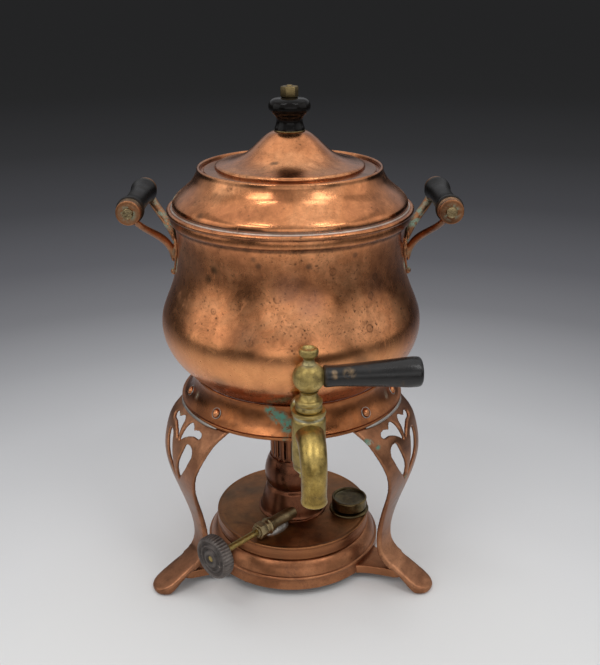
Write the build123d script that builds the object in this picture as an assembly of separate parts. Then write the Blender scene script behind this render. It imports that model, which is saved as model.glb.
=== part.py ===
from build123d import *
import math
import os

# Spirit kettle on its stand. Millimetres, +Z up, floor at z = 0, axis at x = y = 0, tap towards -Y.
os.makedirs("parts", exist_ok=True)

GAP = 0.3            # clearance between pieces that move apart
SHEET = 1.2          # copper sheet of the pot
TIN = 1.1            # sheet of the shoulder and the lid

BELLY_R, BELLY_Z = 92.0, 195.0
BOTTOM_Z, HIP_R, HIP_Z = 152.5, 78.0, 167.5
RIM_R, RIM_Z, BEAD_R = 83.0, 276.9, 1.7
NECK_R = RIM_R - 4.3
MOUTH_R, LEDGE_Z = 52.0, 302.4
LID_R, LID_TOP = 58.5, 328.3
LIP_R = LID_R + 3.4  # bead that closes the shoulder round the lid's ledge
KNOB_H, STUD_R = 20.9, 2.2
NUT_AF, NUT_H = 10.4, 7.4

GRIP_X, GRIP_Z, GRIP_LEN = 105.0, 281.5, 60.0
GRIP_END, GRIP_WAIST = 9.3, 7.4
EYE_Y, EYE_R, EYE_T, ROD_R = 35.5, 8.2, 3.0, 2.3

TAP_AZ = -84.0       # the tap looks out from the pot at this heading
TAP_U, SHANK_Z, SHANK_R = 110.0, HIP_Z - 0.5, 6.5
TAP_FOOT = HIP_R - 2.0  # where the tap's shank leaves the pot wall
BARREL_R, BARREL_LOW, BARREL_TOP = 10.7, 135.0, 176.0
PLUG_TOP_R, PLUG_LOW_R, PLUG_FIT = 7.4, 6.2, 0.06
SPOUT_R, SPOUT_BORE, SPOUT_BEND, SPOUT_Z, OUTLET_Z = 7.75, 5.2, 15.0, 157.0, 127.0
SPOUT_U = TAP_U + SPOUT_BEND + 13.0
BALL_R, BALL_Z, LEVER_LEN = 10.0, 198.0, 61.0

SEAT_R, EDGE_R = 69.5, 1.1
LEG_AZ = (210.0, 330.0, 90.0)
LEG_T, FOOT_U = 2.4, 119.0
RIVET_SPREAD, RIVET_U, RIVET_Z = 16.5, 74.2, 145.2

TRAY_R, TRAY_TOP, TRAY_LOW, ARM_TOP, ARM_END = 64.5, 26.7, 6.0, 12.4, 96.0
RES_R, RES_LOW, RES_TOP, RES_WALL = 58.9, 27.0, 38.0, 1.0
COLUMN_R, TUBE_R, TUBE_LOW, TUBE_TOP = 25.0, 16.2, 84.0, 104.0
FILL_X, FILL_Y, FILL_BORE = 44.0, -6.0, 9.0
VALVE_AZ, VALVE_OFF, VALVE_Z, VALVE_R, ROD = 226.0, 15.0, 44.7, 4.7, 2.4


def inset(points, t):
    """Moves a run of profile points to its left by t."""
    out = []
    for i, (x, y) in enumerate(points):
        a, b = points[max(i - 1, 0)], points[min(i + 1, len(points) - 1)]
        dx, dy = b[0] - a[0], b[1] - a[1]
        k = (t[i] if isinstance(t, list) else t) / math.hypot(dx, dy)
        out.append((x - dy * k, y + dx * k))
    return out


def sheet(points, t):
    """A strip of sheet, with points on its outer face and the thickness inward."""
    inner = inset(points, t)
    return make_face([Spline(*points), Line(points[-1], inner[-1]),
                      Spline(*reversed(inner)), Line(inner[0], points[0])])


def box2(r0, z0, r1, z1):
    return Pos((r0 + r1) / 2, (z0 + z1) / 2) * Rectangle(r1 - r0, z1 - z0)


def outline(*edges):
    return make_face(list(edges))


def cap2(a, z, h):
    """A round-topped profile of half-width a that rises h above z."""
    r = (a * a + h * h) / (2 * h)
    return (Pos(0, z + h - r) * Circle(r)) & box2(0, z, a, z + h + 1)


def turned(face, arc=360.0):
    return revolve(Plane.XZ * face, Axis.Z, revolution_arc=arc)


def polar(az, r):
    return r * math.cos(math.radians(az)), r * math.sin(math.radians(az))


def hexagon(flats, low, high, bore, spin=0.0):
    body = extrude(Rot(0, 0, spin) * RegularPolygon(flats / 2, 6, major_radius=False), high - low)
    chamfer = Cone(flats * 0.62 + (high - low) * 0.9, flats * 0.5, high - low,
                   align=(Align.CENTER, Align.CENTER, Align.MIN))
    body = body & chamfer
    return Pos(0, 0, low) * (body - Pos(0, 0, (high - low) / 2) * Cylinder(bore, high - low + 2))


def save(node, shape):
    export_step(shape if isinstance(shape, Compound) else Compound(children=[shape]),
                "parts/" + node + ".step")
    print(node, round(shape.volume))


# ---------------------------------------------------------------- pot
def pot_run(t):
    """The pot wall's run of edges from the axis to the rim, t inside the outer face."""
    slope = t / math.sqrt(2)
    foot = (HIP_R - 10.0 - slope, HIP_Z - 10.0 + slope)
    hip = (HIP_R - slope, HIP_Z + slope)
    radius = 17.07 - t
    flat = (foot[0] - radius / math.sqrt(2), BOTTOM_Z + t)
    belly = [(BELLY_R - 4.0, BELLY_Z - 16.4), (BELLY_R, BELLY_Z), (BELLY_R - 3.2, BELLY_Z + 16.0),
             (NECK_R + 3.7, RIM_Z - 49.6), (NECK_R + 0.2, RIM_Z - 30.9), (NECK_R, RIM_Z - 19.9),
             (RIM_R - 1.0, RIM_Z - 4.9)]
    side = [hip] + inset([(HIP_R + 6.0, HIP_Z + 6.5)] + belly, t)[1:]
    return [Line((0, BOTTOM_Z + t), flat), RadiusArc(flat, foot, -radius), Line(foot, hip),
            Spline(*side, tangents=[(1, 1), (0.1, 1)])], side[-1]


def pot_solid():
    edges, top = pot_run(0.0)
    return turned(outline(*edges, Line(top, (0, top[1])), Line((0, top[1]), (0, BOTTOM_Z))))


def pot_shell():
    outer, top = pot_run(0.0)
    inner, top_in = pot_run(SHEET)
    wall = outline(*outer, Line(top, top_in), *inner, Line((0, BOTTOM_Z + SHEET), (0, BOTTOM_Z)))
    rim_in = RIM_R - 1.0 - SHEET
    wall += box2(rim_in, RIM_Z - 5.4, RIM_R - 1.0, RIM_Z) + Pos(RIM_R, RIM_Z) * Circle(BEAD_R)
    wall -= box2(rim_in - 6.0, RIM_Z - 6.9, rim_in, RIM_Z + 4)
    shell = turned(wall)
    return shell - tap_frame(shank_rod(SHANK_R))


def shoulder():
    """The funnel-shaped top: a skirt inside the rim, a hollow slope and the ledge for the lid."""
    skirt_r, width, rise = RIM_R - 1.0 - SHEET, RIM_R - LIP_R, LEDGE_Z - RIM_Z
    slope = [(0.957, 0.137), (0.739, 0.333), (0.384, 0.616), (0.171, 0.859), (0.062, 1.063)]
    run = [(skirt_r, RIM_Z + 1.1)] + [(LIP_R + k * width, RIM_Z + h * rise) for k, h in slope]
    profile = sheet(run, TIN) + box2(skirt_r - TIN, RIM_Z - 5.3, skirt_r, RIM_Z + 1.7)
    profile += Pos(LIP_R, LEDGE_Z + 1.9) * Circle(1.25)
    profile += box2(LIP_R - 1.6, LEDGE_Z - TIN, LIP_R - 0.1, LEDGE_Z + 1.9)
    profile += box2(MOUTH_R, LEDGE_Z - TIN, LIP_R - 0.9, LEDGE_Z)
    return turned(profile)


# ---------------------------------------------------------------- lid and knob
def lid_shell():
    low, rise = LEDGE_Z + GAP, LID_TOP - LEDGE_Z
    dome = [(0.868, 0.162), (0.65, 0.286), (0.47, 0.498), (0.308, 0.807), (0.198, 1.0)]
    run = [(k * LID_R, LEDGE_Z + h * rise) for k, h in dome]
    step, land = LID_R - 7.5, LEDGE_Z + 0.158 * rise
    profile = sheet(run, TIN) + box2(STUD_R, LID_TOP - TIN, 0.2 * LID_R, LID_TOP)
    profile += box2(step - TIN, low, step, land) + box2(step - 0.8, low, LID_R, low + TIN)
    profile += box2(MOUTH_R - GAP - 1.2, low - 9.0, MOUTH_R - GAP, low + 0.5)
    return turned(profile)


def knob():
    low = LID_TOP + 0.8
    top = low + KNOB_H
    swell = [(10.3, 0.0), (8.9, 0.139), (9.3, 0.258), (11.2, 0.407), (13.3, 0.545), (14.1, 0.727),
             (12.5, 0.919), (7.4, 1.0)]
    side = Spline(*[(r, low + k * KNOB_H) for r, k in swell])
    return turned(outline(side, Line((7.4, top), (STUD_R, top)), Line((STUD_R, top), (STUD_R, low)),
                          Line((STUD_R, low), (10.3, low))))


def stud():
    low, top = LID_TOP - TIN - 5.0, LID_TOP + 0.8 + KNOB_H + NUT_H
    return turned(box2(0, low, STUD_R, top) + cap2(STUD_R, top, 0.9))


# ---------------------------------------------------------------- side handles
def along_y(face, side=1):
    """Turns a profile (radius, distance along Y) about a Y line at the grip's place."""
    return Pos(side * GRIP_X, 0, GRIP_Z) * revolve(face, Axis.Y)


def grip():
    half = GRIP_LEN / 2
    side = Spline((GRIP_END, -half + 2), (GRIP_WAIST + 0.4, -half * 0.45), (GRIP_WAIST, 0),
                  (GRIP_WAIST + 0.4, half * 0.45), (GRIP_END, half - 2))
    face = outline(side, RadiusArc((GRIP_END, half - 2), (GRIP_END - 1.6, half), -2.0),
                   Line((GRIP_END - 1.6, half), (ROD_R, half)), Line((ROD_R, half), (ROD_R, -half)),
                   Line((ROD_R, -half), (GRIP_END - 1.6, -half)),
                   RadiusArc((GRIP_END - 1.6, -half), (GRIP_END, -half + 2), -2.0))
    return along_y(face)


def ferrules():
    """A metal washer ring at each end of the grip, between wood and eye."""
    half, eye = GRIP_LEN / 2, EYE_Y - EYE_T / 2
    rings = []
    for s in (-1, 1):
        a, b = sorted((s * half, s * eye))
        rings.append(along_y(box2(ROD_R, a, 8.6, b)))
    return rings


def grip_rod(side):
    """The through rod, with a slotted screw head at the front and a thread for the dome nut."""
    front = EYE_Y + EYE_T / 2
    face = box2(0, -front - 0.2, ROD_R, front + 3.4)
    face += box2(0, -front - 3.0, 5.0, -front)
    slot = Pos(side * GRIP_X, -front - 3.0, GRIP_Z) * Rot(0, 25, 0) * Box(12, 2.4, 1.2)
    return along_y(face, side) - slot


def dome_nut(side):
    front = EYE_Y + EYE_T / 2
    face = box2(0, front, 5.4, front + 2.2) + cap2(5.4, front + 2.2, 4.0)
    return along_y(face - box2(0, front - 1, ROD_R, front + 3.4), side)


def arm_path(side):
    """A strap that runs up the edge of the leaf and then straight out to the grip's eye."""
    low, high = (NECK_R + 4.3, 13.5, 254.0), (GRIP_X - 3.0, EYE_Y - 1.0, GRIP_Z - 4.5)
    mids = [tuple(a + k * (b - a) for a, b in zip(low, high)) for k in (0.38, 0.76)]
    return [(x, side * y, z) for x, y, z in [(NECK_R + 1.5, 11.0, 244.0), low] + mids + [high]]


def bracket(z_low=231.0, z_high=266.0):
    """A leaf plate on the neck with two arms that rise to the eyes of the grip."""
    run = [(NECK_R + 2.2, z_low - 1), (NECK_R + 0.3, 240.0), (NECK_R - 0.2, 250.0), (NECK_R, 258.0),
           (NECK_R + 1.5, z_high + 2)]
    wrap = Rot(0, 0, -24) * turned(sheet(run, -2.2), 48)
    leaf = make_face([Spline((0, z_low - 2), (-9.5, z_low + 8), (-15.0, 250), (-8.0, 260), (0, z_high)),
                      Spline((0, z_high), (8.0, 260), (15.0, 250), (9.5, z_low + 8), (0, z_low - 2))])
    body = wrap & (Plane.YZ * extrude(leaf, 140))
    for s in (-1, 1):
        curve = Spline(*arm_path(s))
        rings = []
        for k, size in ((0, (2.6, 2.2)), (0.3, (3.2, 2.3)), (0.65, (3.5, 2.2)), (1, (3.6, 1.5))):
            at = Plane(origin=curve @ k, x_dir=(1, 0, 0.4), z_dir=curve % k)
            rings.append(at * Ellipse(*size))
        body += loft(rings)
        body += Pos(GRIP_X, s * EYE_Y, GRIP_Z) * Rot(90, 0, 0) * Cylinder(EYE_R, EYE_T)
    body += Pos(NECK_R + 3.7, 0, z_low - 0.5) * Sphere(2.6)
    body -= Pos(GRIP_X, 0, GRIP_Z) * Rot(90, 0, 0) * Cylinder(ROD_R, 90)
    body -= pot_solid()
    body -= Pos(GRIP_X, 0, GRIP_Z) * Rot(90, 0, 0) * Cylinder(8.9, 2 * EYE_Y - EYE_T)
    for pin in rivet_shanks():
        body -= pin
    return body


def rivet_places():
    return [(-5.4, 242.5), (5.4, 242.5), (0.0, 256.0)]


def rivet_shanks():
    return [Pos(NECK_R + 2.3, y, z) * Rot(0, 90, 0) * Cylinder(1.6, 8) for y, z in rivet_places()]


def bracket_rivets():
    pins = []
    for y, z in rivet_places():
        face = box2(0, 0, 1.58, 4.2) + cap2(3.0, 4.2, 1.8)
        pins.append(Pos(NECK_R - 1.6, y, z) * Rot(0, 90, 0) * turned(face))
    return pins


# ---------------------------------------------------------------- tap
def tap_frame(shape):
    """Turns a shape drawn looking out along +X to the tap's heading."""
    return Rot(0, 0, TAP_AZ) * shape


def shank_rod(r, start=TAP_FOOT - 12.0, end=TAP_FOOT + 14.0):
    return Pos((start + end) / 2, 0, SHANK_Z) * Rot(0, 90, 0) * Cylinder(r, end - start)


def plug_cone(extra=0.0):
    return turned(outline(Line((0, BARREL_LOW - 1), (PLUG_LOW_R + extra, BARREL_LOW - 1)),
                          Line((PLUG_LOW_R + extra, BARREL_LOW - 1), (PLUG_TOP_R + extra, BARREL_TOP + 1)),
                          Line((PLUG_TOP_R + extra, BARREL_TOP + 1), (0, BARREL_TOP + 1)),
                          Line((0, BARREL_TOP + 1), (0, BARREL_LOW - 1))))


def tap_body():
    barrel = box2(0, BARREL_LOW, BARREL_R - 1.2, BARREL_TOP)
    barrel += box2(0, BARREL_LOW + 4, BARREL_R, BARREL_TOP - 6)
    barrel += box2(0, BARREL_TOP - 2.6, BARREL_R, BARREL_TOP)
    body = Pos(TAP_U, 0, 0) * turned(barrel)
    reach = TAP_U - 3.0 - TAP_FOOT
    flare = outline(Line((0, 0), (9.4, 0)), Line((9.4, 0), (9.4, 13.5)),
                    Spline((9.4, 13.5), (7.2, 15.5), (SHANK_R, 19.0)), Line((SHANK_R, 19.0), (SHANK_R, reach)),
                    Line((SHANK_R, reach), (0, reach)), Line((0, reach), (0, 0)))
    body += Pos(TAP_FOOT, 0, SHANK_Z) * Rot(0, 0, -90) * revolve(flare, Axis.Y)
    body = body - Rot(0, 0, -TAP_AZ) * pot_solid()
    body += shank_rod(SHANK_R, TAP_FOOT - 4.0)
    bend = SPOUT_BEND
    path = Line((TAP_U, 0, SPOUT_Z), (SPOUT_U - bend, 0, SPOUT_Z))
    mid = bend * math.sqrt(0.5)
    path += ThreePointArc((SPOUT_U - bend, 0, SPOUT_Z), (SPOUT_U - bend + mid, 0, SPOUT_Z - bend + mid),
                          (SPOUT_U, 0, SPOUT_Z - bend))
    path += Line((SPOUT_U, 0, SPOUT_Z - bend), (SPOUT_U, 0, OUTLET_Z))
    start = Plane(origin=(TAP_U, 0, SPOUT_Z), z_dir=(1, 0, 0))
    body += sweep(start * Circle(SPOUT_R), path=path)
    body += Pos(SPOUT_U, 0, OUTLET_Z + 1.5) * Cylinder(SPOUT_R + 0.7, 3.0)
    body -= sweep(start * Circle(SPOUT_BORE), path=path)
    body -= Pos(SPOUT_U, 0, OUTLET_Z) * Cylinder(SPOUT_BORE, 12)
    body -= shank_rod(4.0, TAP_FOOT - 16.0, TAP_U)
    return tap_frame(body - Pos(TAP_U, 0, 0) * plug_cone(PLUG_FIT))


def tap_plug():
    top = BARREL_TOP + GAP
    plug = plug_cone() & Pos(0, 0, (BARREL_LOW + top) / 2) * Cylinder(20, top - BARREL_LOW)
    head = outline(Line((0, top - 0.5), (8.2, top - 0.5)), Line((8.2, top - 0.5), (8.2, top + 5)),
                   Spline((8.2, top + 5), (6.0, top + 8), (5.2, top + 11), (6.4, top + 14)),
                   Line((6.4, top + 14), (0, top + 14)), Line((0, top + 14), (0, top - 0.5)))
    plug += turned(head - box2(PLUG_TOP_R - 0.05, top - 0.6, 9, top))
    plug += Pos(0, 0, BALL_Z) * Sphere(BALL_R)
    cup = Spline((4.6, BALL_Z + 8), (3.7, BALL_Z + 11.5), (5.6, BALL_Z + 14.5), (5.9, BALL_Z + 17.6),
                 (4.4, BALL_Z + 18.9))
    plug += turned(outline(cup, Line((4.4, BALL_Z + 18.9), (0, BALL_Z + 18.9)),
                           Line((0, BALL_Z + 18.9), (0, BALL_Z + 8)), Line((0, BALL_Z + 8), (4.6, BALL_Z + 8))))
    plug -= Pos(0, 0, BALL_Z + 19.6) * Sphere(2.6)
    plug += Pos(0, 0, BARREL_LOW - 4) * Cylinder(3.4, 9.4)
    plug -= Pos(0, 0, SPOUT_Z) * Rot(90, 0, 0) * Cylinder(4.0, 40)
    plug -= Pos(0, 18, BALL_Z) * Rot(90, 0, 0) * Cylinder(3.0, 24)
    return tap_frame(Pos(TAP_U, 0, 0) * plug)


def tap_lever():
    """The wooden lever lies square to the tap, pinned on a tang that runs into the ball."""
    a, b = BALL_R - 1.2, BALL_R - 1.2 + LEVER_LEN
    side = Spline((6.6, a), (7.4, a + 20), (9.4, b - 12), (9.2, b - 5), (6.0, b - 0.8))
    face = outline(side, Line((6.0, b - 0.8), (0, b - 0.8)), Line((0, b - 0.8), (0, a)),
                   Line((0, a), (6.6, a))) + cap2(6.0, b - 0.8, 0.8)
    wood = revolve(face, Axis.Y) - Pos(0, 15, 0) * Rot(90, 0, 0) * Cylinder(3.0, 34)
    wood -= Sphere(BALL_R)
    wood -= Pos(0, a + 14, 0) * Cylinder(1.5, 40)
    return tap_frame(Pos(TAP_U, 0, BALL_Z) * wood)


def tap_tang():
    tang = Pos(0, 19, 0) * Rot(90, 0, 0) * Cylinder(3.0, 26)
    pin = Pos(0, BALL_R - 1.2 + 14, 0) * Cylinder(1.5, 15.0)
    return tap_frame(Pos(TAP_U, 0, BALL_Z) * (tang + pin))


def tap_low(low, high, r, bore):
    return tap_frame(Pos(TAP_U, 0, 0) * turned(box2(bore, low, r, high)))


# ---------------------------------------------------------------- stand
def edge_bead():
    k = (EDGE_R + GAP) / math.sqrt(2)
    return SEAT_R + k, 159.0 - k


def skirt_run():
    er, ez = edge_bead()
    return [(79.6, 139.6), (76.6, 142.3), (73.6, 146.6), (71.6, 152.0), (er + 0.6, ez)]


def ring_profile(grow=0.0):
    er, ez = edge_bead()
    profile = sheet(skirt_run(), SHEET + grow) + Pos(er, ez) * Circle(EDGE_R + grow)
    return profile + Pos(79.3, 139.2) * Circle(1.4 + grow)


def stand_ring():
    body = turned(ring_profile())
    for hole in leg_rivet_holes():
        body -= hole
    return body


def rivet_heads():
    return [(az + s * RIVET_SPREAD, az) for az in LEG_AZ for s in (-1, 1)]


def rivet_axis(shape, az):
    """Sets a shape drawn along +Z square to the skirt at the rivet's place."""
    return Rot(0, 0, az) * Pos(RIVET_U, 0, RIVET_Z) * Rot(0, 58, 0) * shape


def leg_rivet_holes():
    return [rivet_axis(Cylinder(1.72, 16), az) for az, _ in rivet_heads()]


def leg_rivets():
    face = box2(0, -5.4, 2.6, -4.2) + box2(0, -4.4, 1.7, 0.7) + cap2(2.6, 0.7, 1.8)
    return [rivet_axis(turned(face), az) for az, _ in rivet_heads()]


def leg_profile():
    tucked = inset(skirt_run()[1:4], SHEET + 0.06)
    run = [(FOOT_U, 5.6), (108.7, 9.2), (95.5, 16.9), (88.4, 21.0), (83.0, 27.4), (81.1, 37.0), (82.8, 51.5),
           (88.3, 70.5), (95.3, 94.0), (96.2, 104.0), (93.6, 118.0), (88.6, 129.4), (81.6, 136.4)]
    thick = [5.3, 5.4, 4.6, 4.4, 4.2, 4.0, 3.6, 3.0] + [LEG_T] * 5
    run, thick = run + [tucked[0], tucked[2]], thick + [LEG_T, LEG_T]
    inner = inset(run, thick)
    inner[0] = (FOOT_U - 0.5, 0.0)
    heel = (104.5, 4.6)
    return outline(Spline(*run), Line(run[-1], inner[-1]), Spline(*reversed(inner[2:]), heel, (109.5, 0.0)),
                   Line((109.5, 0.0), inner[0]), Line(inner[0], run[0]))


def leg_holes():
    """The piercings of one half, in tangential offset and height: a drop and a mitten-shaped leaf."""
    drop = make_face([Spline((2.2, 90.0), (8.4, 97.4), (14.3, 104.6), (18.0, 111.3), (20.0, 117.0), (18.6, 121.0),
                             (14.6, 122.6), (10.8, 121.0), (9.0, 117.0), (6.8, 111.3), (4.4, 105.5), (2.6, 99.0),
                             (2.2, 90.0), tangents=[(0.6, 0.8), (0.0, -1.0)])])
    leaf = make_face([Spline((1.2, 119.5), (1.2, 123.5), (2.2, 128.0), (3.0, 131.8), (5.8, 134.0), (9.4, 133.5),
                             (12.6, 131.4)),
                      Spline((12.6, 131.4), (15.2, 132.4), (19.4, 132.4), (22.2, 130.6), (20.8, 128.7),
                             (16.8, 128.5), (12.6, 127.9), (8.2, 126.1), (4.4, 123.4), (1.2, 119.5))])
    return drop, leaf


def leg():
    body = Rot(0, 0, -32) * turned(leg_profile(), 64)
    right = [(12.0, -2.0), (11.6, 10.0), (10.0, 24.0), (9.0, 38.0), (11.0, 56.0), (19.0, 84.0), (30.0, 113.0),
             (36.0, 133.0), (38.0, 150.0)]
    left = [(-x, z) for x, z in right]
    front = make_face([Spline(*right), Line(right[-1], left[-1]), Spline(*reversed(left)),
                       Line(left[0], right[0])])
    body = body & (Plane.YZ * extrude(front, 140))
    tip = FOOT_U - 11.0
    plan = Pos(60 + (tip - 60) / 2, 0) * Rectangle(tip - 60, 100) + Pos(tip, 0) * Circle(FOOT_U - tip + 0.3)
    body = body & extrude(plan, 160)
    cuts = []
    drop, leaf = leg_holes()
    for piece in (drop, leaf):
        tool = Plane.YZ * (Pos(0, 0, 70) * extrude(piece, 70))
        cuts += [tool, mirror(tool, Plane.XZ)]
    for cut in cuts:
        body = body - cut
    body -= Pos(ARM_END - 5, 0, ARM_TOP) * Cylinder(2.04, 7.0)
    body -= turned(ring_profile(0.05))
    return max(body.solids(), key=lambda s: s.volume)


# ---------------------------------------------------------------- tray
def arm_plan(t):
    """The outline of one arm from the tray's wall to its round end, t inside the edge."""
    side = [(TRAY_R, 15.0 - t), (75.0, 10.6 - t), (87.0, 7.7 - t), (ARM_END - 5.0, 6.6 - t)]
    back = [(x, -y) for x, y in reversed(side)]
    return make_face([Spline(*side, (ARM_END - t, 0), *back), Line(back[-1], side[0])])


def tray():
    run = [(TRAY_R + 1.9, TRAY_LOW), (TRAY_R + 1.2, 12.0), (TRAY_R + 0.2, 16.0), (TRAY_R - 1.5, 20.6),
           (TRAY_R - 3.6, 24.4), (TRAY_R - 5.2, TRAY_TOP)]
    profile = sheet(run, SHEET) + box2(0, TRAY_TOP - SHEET, TRAY_R - 4.6, TRAY_TOP)
    profile += Pos(TRAY_R + 0.6, 15.6) * Circle(1.1)
    body = turned(profile)
    arm = Pos(0, 0, TRAY_LOW) * extrude(arm_plan(0.0), ARM_TOP - TRAY_LOW)
    arm -= Pos(0, 0, TRAY_LOW - 1) * extrude(arm_plan(SHEET), ARM_TOP - TRAY_LOW + 1 - SHEET)
    arm -= Pos(ARM_END - 5, 0, ARM_TOP) * Cylinder(2.04, 8.0)
    arm -= turned(box2(0, 0, TRAY_R + 0.9, 40))
    arm = max((arm - leg()).solids(), key=lambda s: s.volume)
    for az in LEG_AZ:
        body = body + Rot(0, 0, az) * arm
    return body


def tray_rivets():
    face = box2(0, ARM_TOP - SHEET - 1.4, 3.4, ARM_TOP - SHEET) + box2(0, ARM_TOP - SHEET - 1, 2.0, ARM_TOP + 3.4)
    return [Rot(0, 0, az) * Pos(ARM_END - 5, 0, 0) * turned(face) for az in LEG_AZ]


# ---------------------------------------------------------------- burner
def reservoir():
    top, low, r, w = RES_TOP, RES_LOW, RES_R, RES_WALL
    side = sheet([(r - 1.0, low), (r - 0.2, low + 3.0), (r - 0.3, top - 2.4), (r - 1.6, top)], w)
    profile = side + box2(0, low, r - 1.2, low + w) + box2(14.0, top - w, r - 1.8, top)
    profile += Pos(r - 0.9, top - 1.6) * Circle(0.9)
    return turned(profile) - Pos(FILL_X, FILL_Y, top) * Cylinder(FILL_BORE, 6)


def column():
    z, rise = RES_TOP, TUBE_LOW - RES_TOP
    swell = [(7.6, 0.11), (6.2, 0.26), (4.6, 0.402), (2.7, 0.483), (3.8, 0.543), (4.8, 0.652), (4.7, 0.76),
             (3.2, 0.89), (2.2, 1.0)]
    run = [(COLUMN_R, z)] + [(TUBE_R + r, z + k * rise) for r, k in swell]
    face = sheet(run, 1.6) + box2(COLUMN_R - 1.6, z, COLUMN_R + 1.6, z + 1.0)
    face += box2(TUBE_R, TUBE_LOW - 1.4, TUBE_R + 2.0, TUBE_LOW)
    face -= box2(TUBE_R - 4.0, z - 3.0, COLUMN_R + 2.0, z)
    return turned(face) - valve_axis(Cylinder(VALVE_R, 60), 42)


def burner_tube():
    body = turned(box2(TUBE_R - 1.6, TUBE_LOW - 12.0, TUBE_R, TUBE_TOP))
    for i in range(18):
        body -= Rot(0, 0, i * 20) * Pos(TUBE_R, 0, TUBE_LOW + 10) * Box(6, 2.4, 15)
    return body


def burner_head():
    top = TUBE_TOP
    face = box2(TUBE_R - 3.2, top - 5.0, TUBE_R - 1.6, top) + box2(5.0, top, TUBE_R + 1.2, top + 1.4)
    face += Pos(TUBE_R + 1.0, top + 0.7) * Circle(0.7)
    body = turned(face)
    for i in range(12):
        body -= Rot(0, 0, i * 30) * Pos(10.6, 0, top) * Cylinder(1.5, 6)
    return body


def at_fill(face):
    return Pos(FILL_X, FILL_Y, 0) * turned(face)


def filler_collar():
    z = RES_TOP
    return at_fill(box2(FILL_BORE - 1.2, z - 2.0, FILL_BORE, z + 4.5) + box2(FILL_BORE - 1.2, z, 15.3, z + 1.4)
                   + box2(FILL_BORE - 1.2, z, 11.4, z + 3.4))


def filler_cap():
    z = RES_TOP + 3.4 + GAP
    r = 13.4
    face = box2(0, z + 3.4, r, z + 4.6) + box2(11.4 + GAP, z - 1.6, r, z + 4.0) \
        + box2(11.6, z + 4.0, r, z + 6.2) + Pos(r - 0.9, z + 6.2) * Circle(0.9)
    face += box2(0, z - 3.0, FILL_BORE - 1.2 - GAP, z + 3.6)
    return at_fill(face)


def valve_axis(shape, s=0.0):
    """Sets a shape drawn along +Z on the needle valve's line, s out from the line's foot."""
    nx, ny = polar(VALVE_AZ + 90.0, VALVE_OFF)
    dx, dy = polar(VALVE_AZ, s)
    return Pos(nx + dx, ny + dy, VALVE_Z) * Rot(0, 0, VALVE_AZ) * Rot(0, 90, 0) * shape


def valve_tube():
    face = box2(0, 15.5, VALVE_R, 38.0) + box2(0, 38.0, 5.6, 46.0) + Pos(5.6, 42.0) * Circle(0.7)
    return valve_axis(turned(face - box2(0, 22.0, ROD + 0.08, 50.0)))


def gland_nut():
    return valve_axis(hexagon(11.2, 46.0, 52.5, ROD + 0.08))


def valve_solder():
    wedge = valve_axis(Pos(VALVE_Z - RES_TOP - 1.6, 0, 31.6) * Box(3.2, 8.6, 12.4))
    return wedge - valve_axis(Cylinder(VALVE_R, 200)) - turned(box2(0, 30, COLUMN_R + 1.6, 60)) \
        - turned(box2(0, 20, RES_R, RES_TOP))


def valve_rod():
    face = box2(0, 25.0, ROD, 99.0) + box2(0, 86.0, 4.0, 88.2)
    return valve_axis(turned(face - box2(0, 98.4, 0.001, 99)))


def valve_knob():
    face = box2(ROD, 88.2, 14.0, 96.4) + box2(ROD, 96.4, 6.0, 98.0)
    return valve_axis(turned(face - box2(8.0, 95.6, 11.6, 98.0)))


def group(shapes):
    return Compound(children=list(shapes))


def both(node, shapes):
    """A right-hand piece, or a list of its solids, and the same turned half round to the left."""
    shapes = shapes if isinstance(shapes, list) else [shapes]
    save(node + "_right", group(shapes))
    save(node + "_left", group([Rot(0, 0, 180) * s for s in shapes]))


def build_stand():
    save("stand_ring", stand_ring())
    one = leg()
    for name, az in zip(("leg_left", "leg_right", "leg_back"), LEG_AZ):
        body = Rot(0, 0, az) * one
        for hole in leg_rivet_holes():
            body -= hole
        save(name, body)
    save("leg_rivets", group(leg_rivets()))
    save("tray", tray())
    save("tray_rivets", group(tray_rivets()))


def build_pot():
    shell = pot_shell()
    for pin in rivet_shanks():
        shell = shell - pin - Rot(0, 0, 180) * pin
    save("pot_shell", shell)
    save("pot_shoulder", shoulder())
    plate = bracket()
    both("bracket", plate)
    both("bracket_rivets", bracket_rivets())
    both("grip", grip())
    both("grip_ferrules", ferrules())
    for name, side in (("right", 1), ("left", -1)):
        save("grip_rod_" + name, grip_rod(side))
        save("grip_nut_" + name, dome_nut(side))
    save("tap_body", tap_body())


def build_lid():
    save("lid_shell", lid_shell())
    save("lid_washer", turned(box2(STUD_R, LID_TOP, 10.6, LID_TOP + 0.8)))
    save("lid_knob", knob())
    save("lid_stud", stud())
    top = LID_TOP + 0.8 + KNOB_H
    save("lid_nut", hexagon(NUT_AF, top, top + NUT_H, STUD_R, 8.0))
    save("lid_inner_nut", hexagon(8.0, LID_TOP - TIN - 4.0, LID_TOP - TIN, STUD_R))


def build_plug():
    save("tap_plug", tap_plug())
    save("tap_lever", tap_lever())
    save("tap_tang", tap_tang())
    save("tap_washer", tap_low(BARREL_LOW - GAP - 1.4, BARREL_LOW - GAP, 8.2, 3.4))
    nut = hexagon(11.0, BARREL_LOW - GAP - 6.4, BARREL_LOW - GAP - 1.4, 3.4)
    save("tap_nut", tap_frame(Pos(TAP_U, 0, 0) * nut))


def build_burner():
    save("burner_reservoir", reservoir())
    save("burner_column", column())
    save("burner_tube", burner_tube())
    save("burner_head", burner_head())
    save("filler_collar", filler_collar())
    save("filler_cap", filler_cap())
    save("valve_tube", valve_tube())
    save("valve_gland_nut", gland_nut())
    save("valve_solder", valve_solder())
    save("valve_rod", valve_rod())
    save("valve_knob", valve_knob())


build_stand()
build_pot()
build_lid()
build_plug()
build_burner()
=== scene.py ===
import bpy
import bmesh
import math
from mathutils import Matrix, Vector


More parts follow.
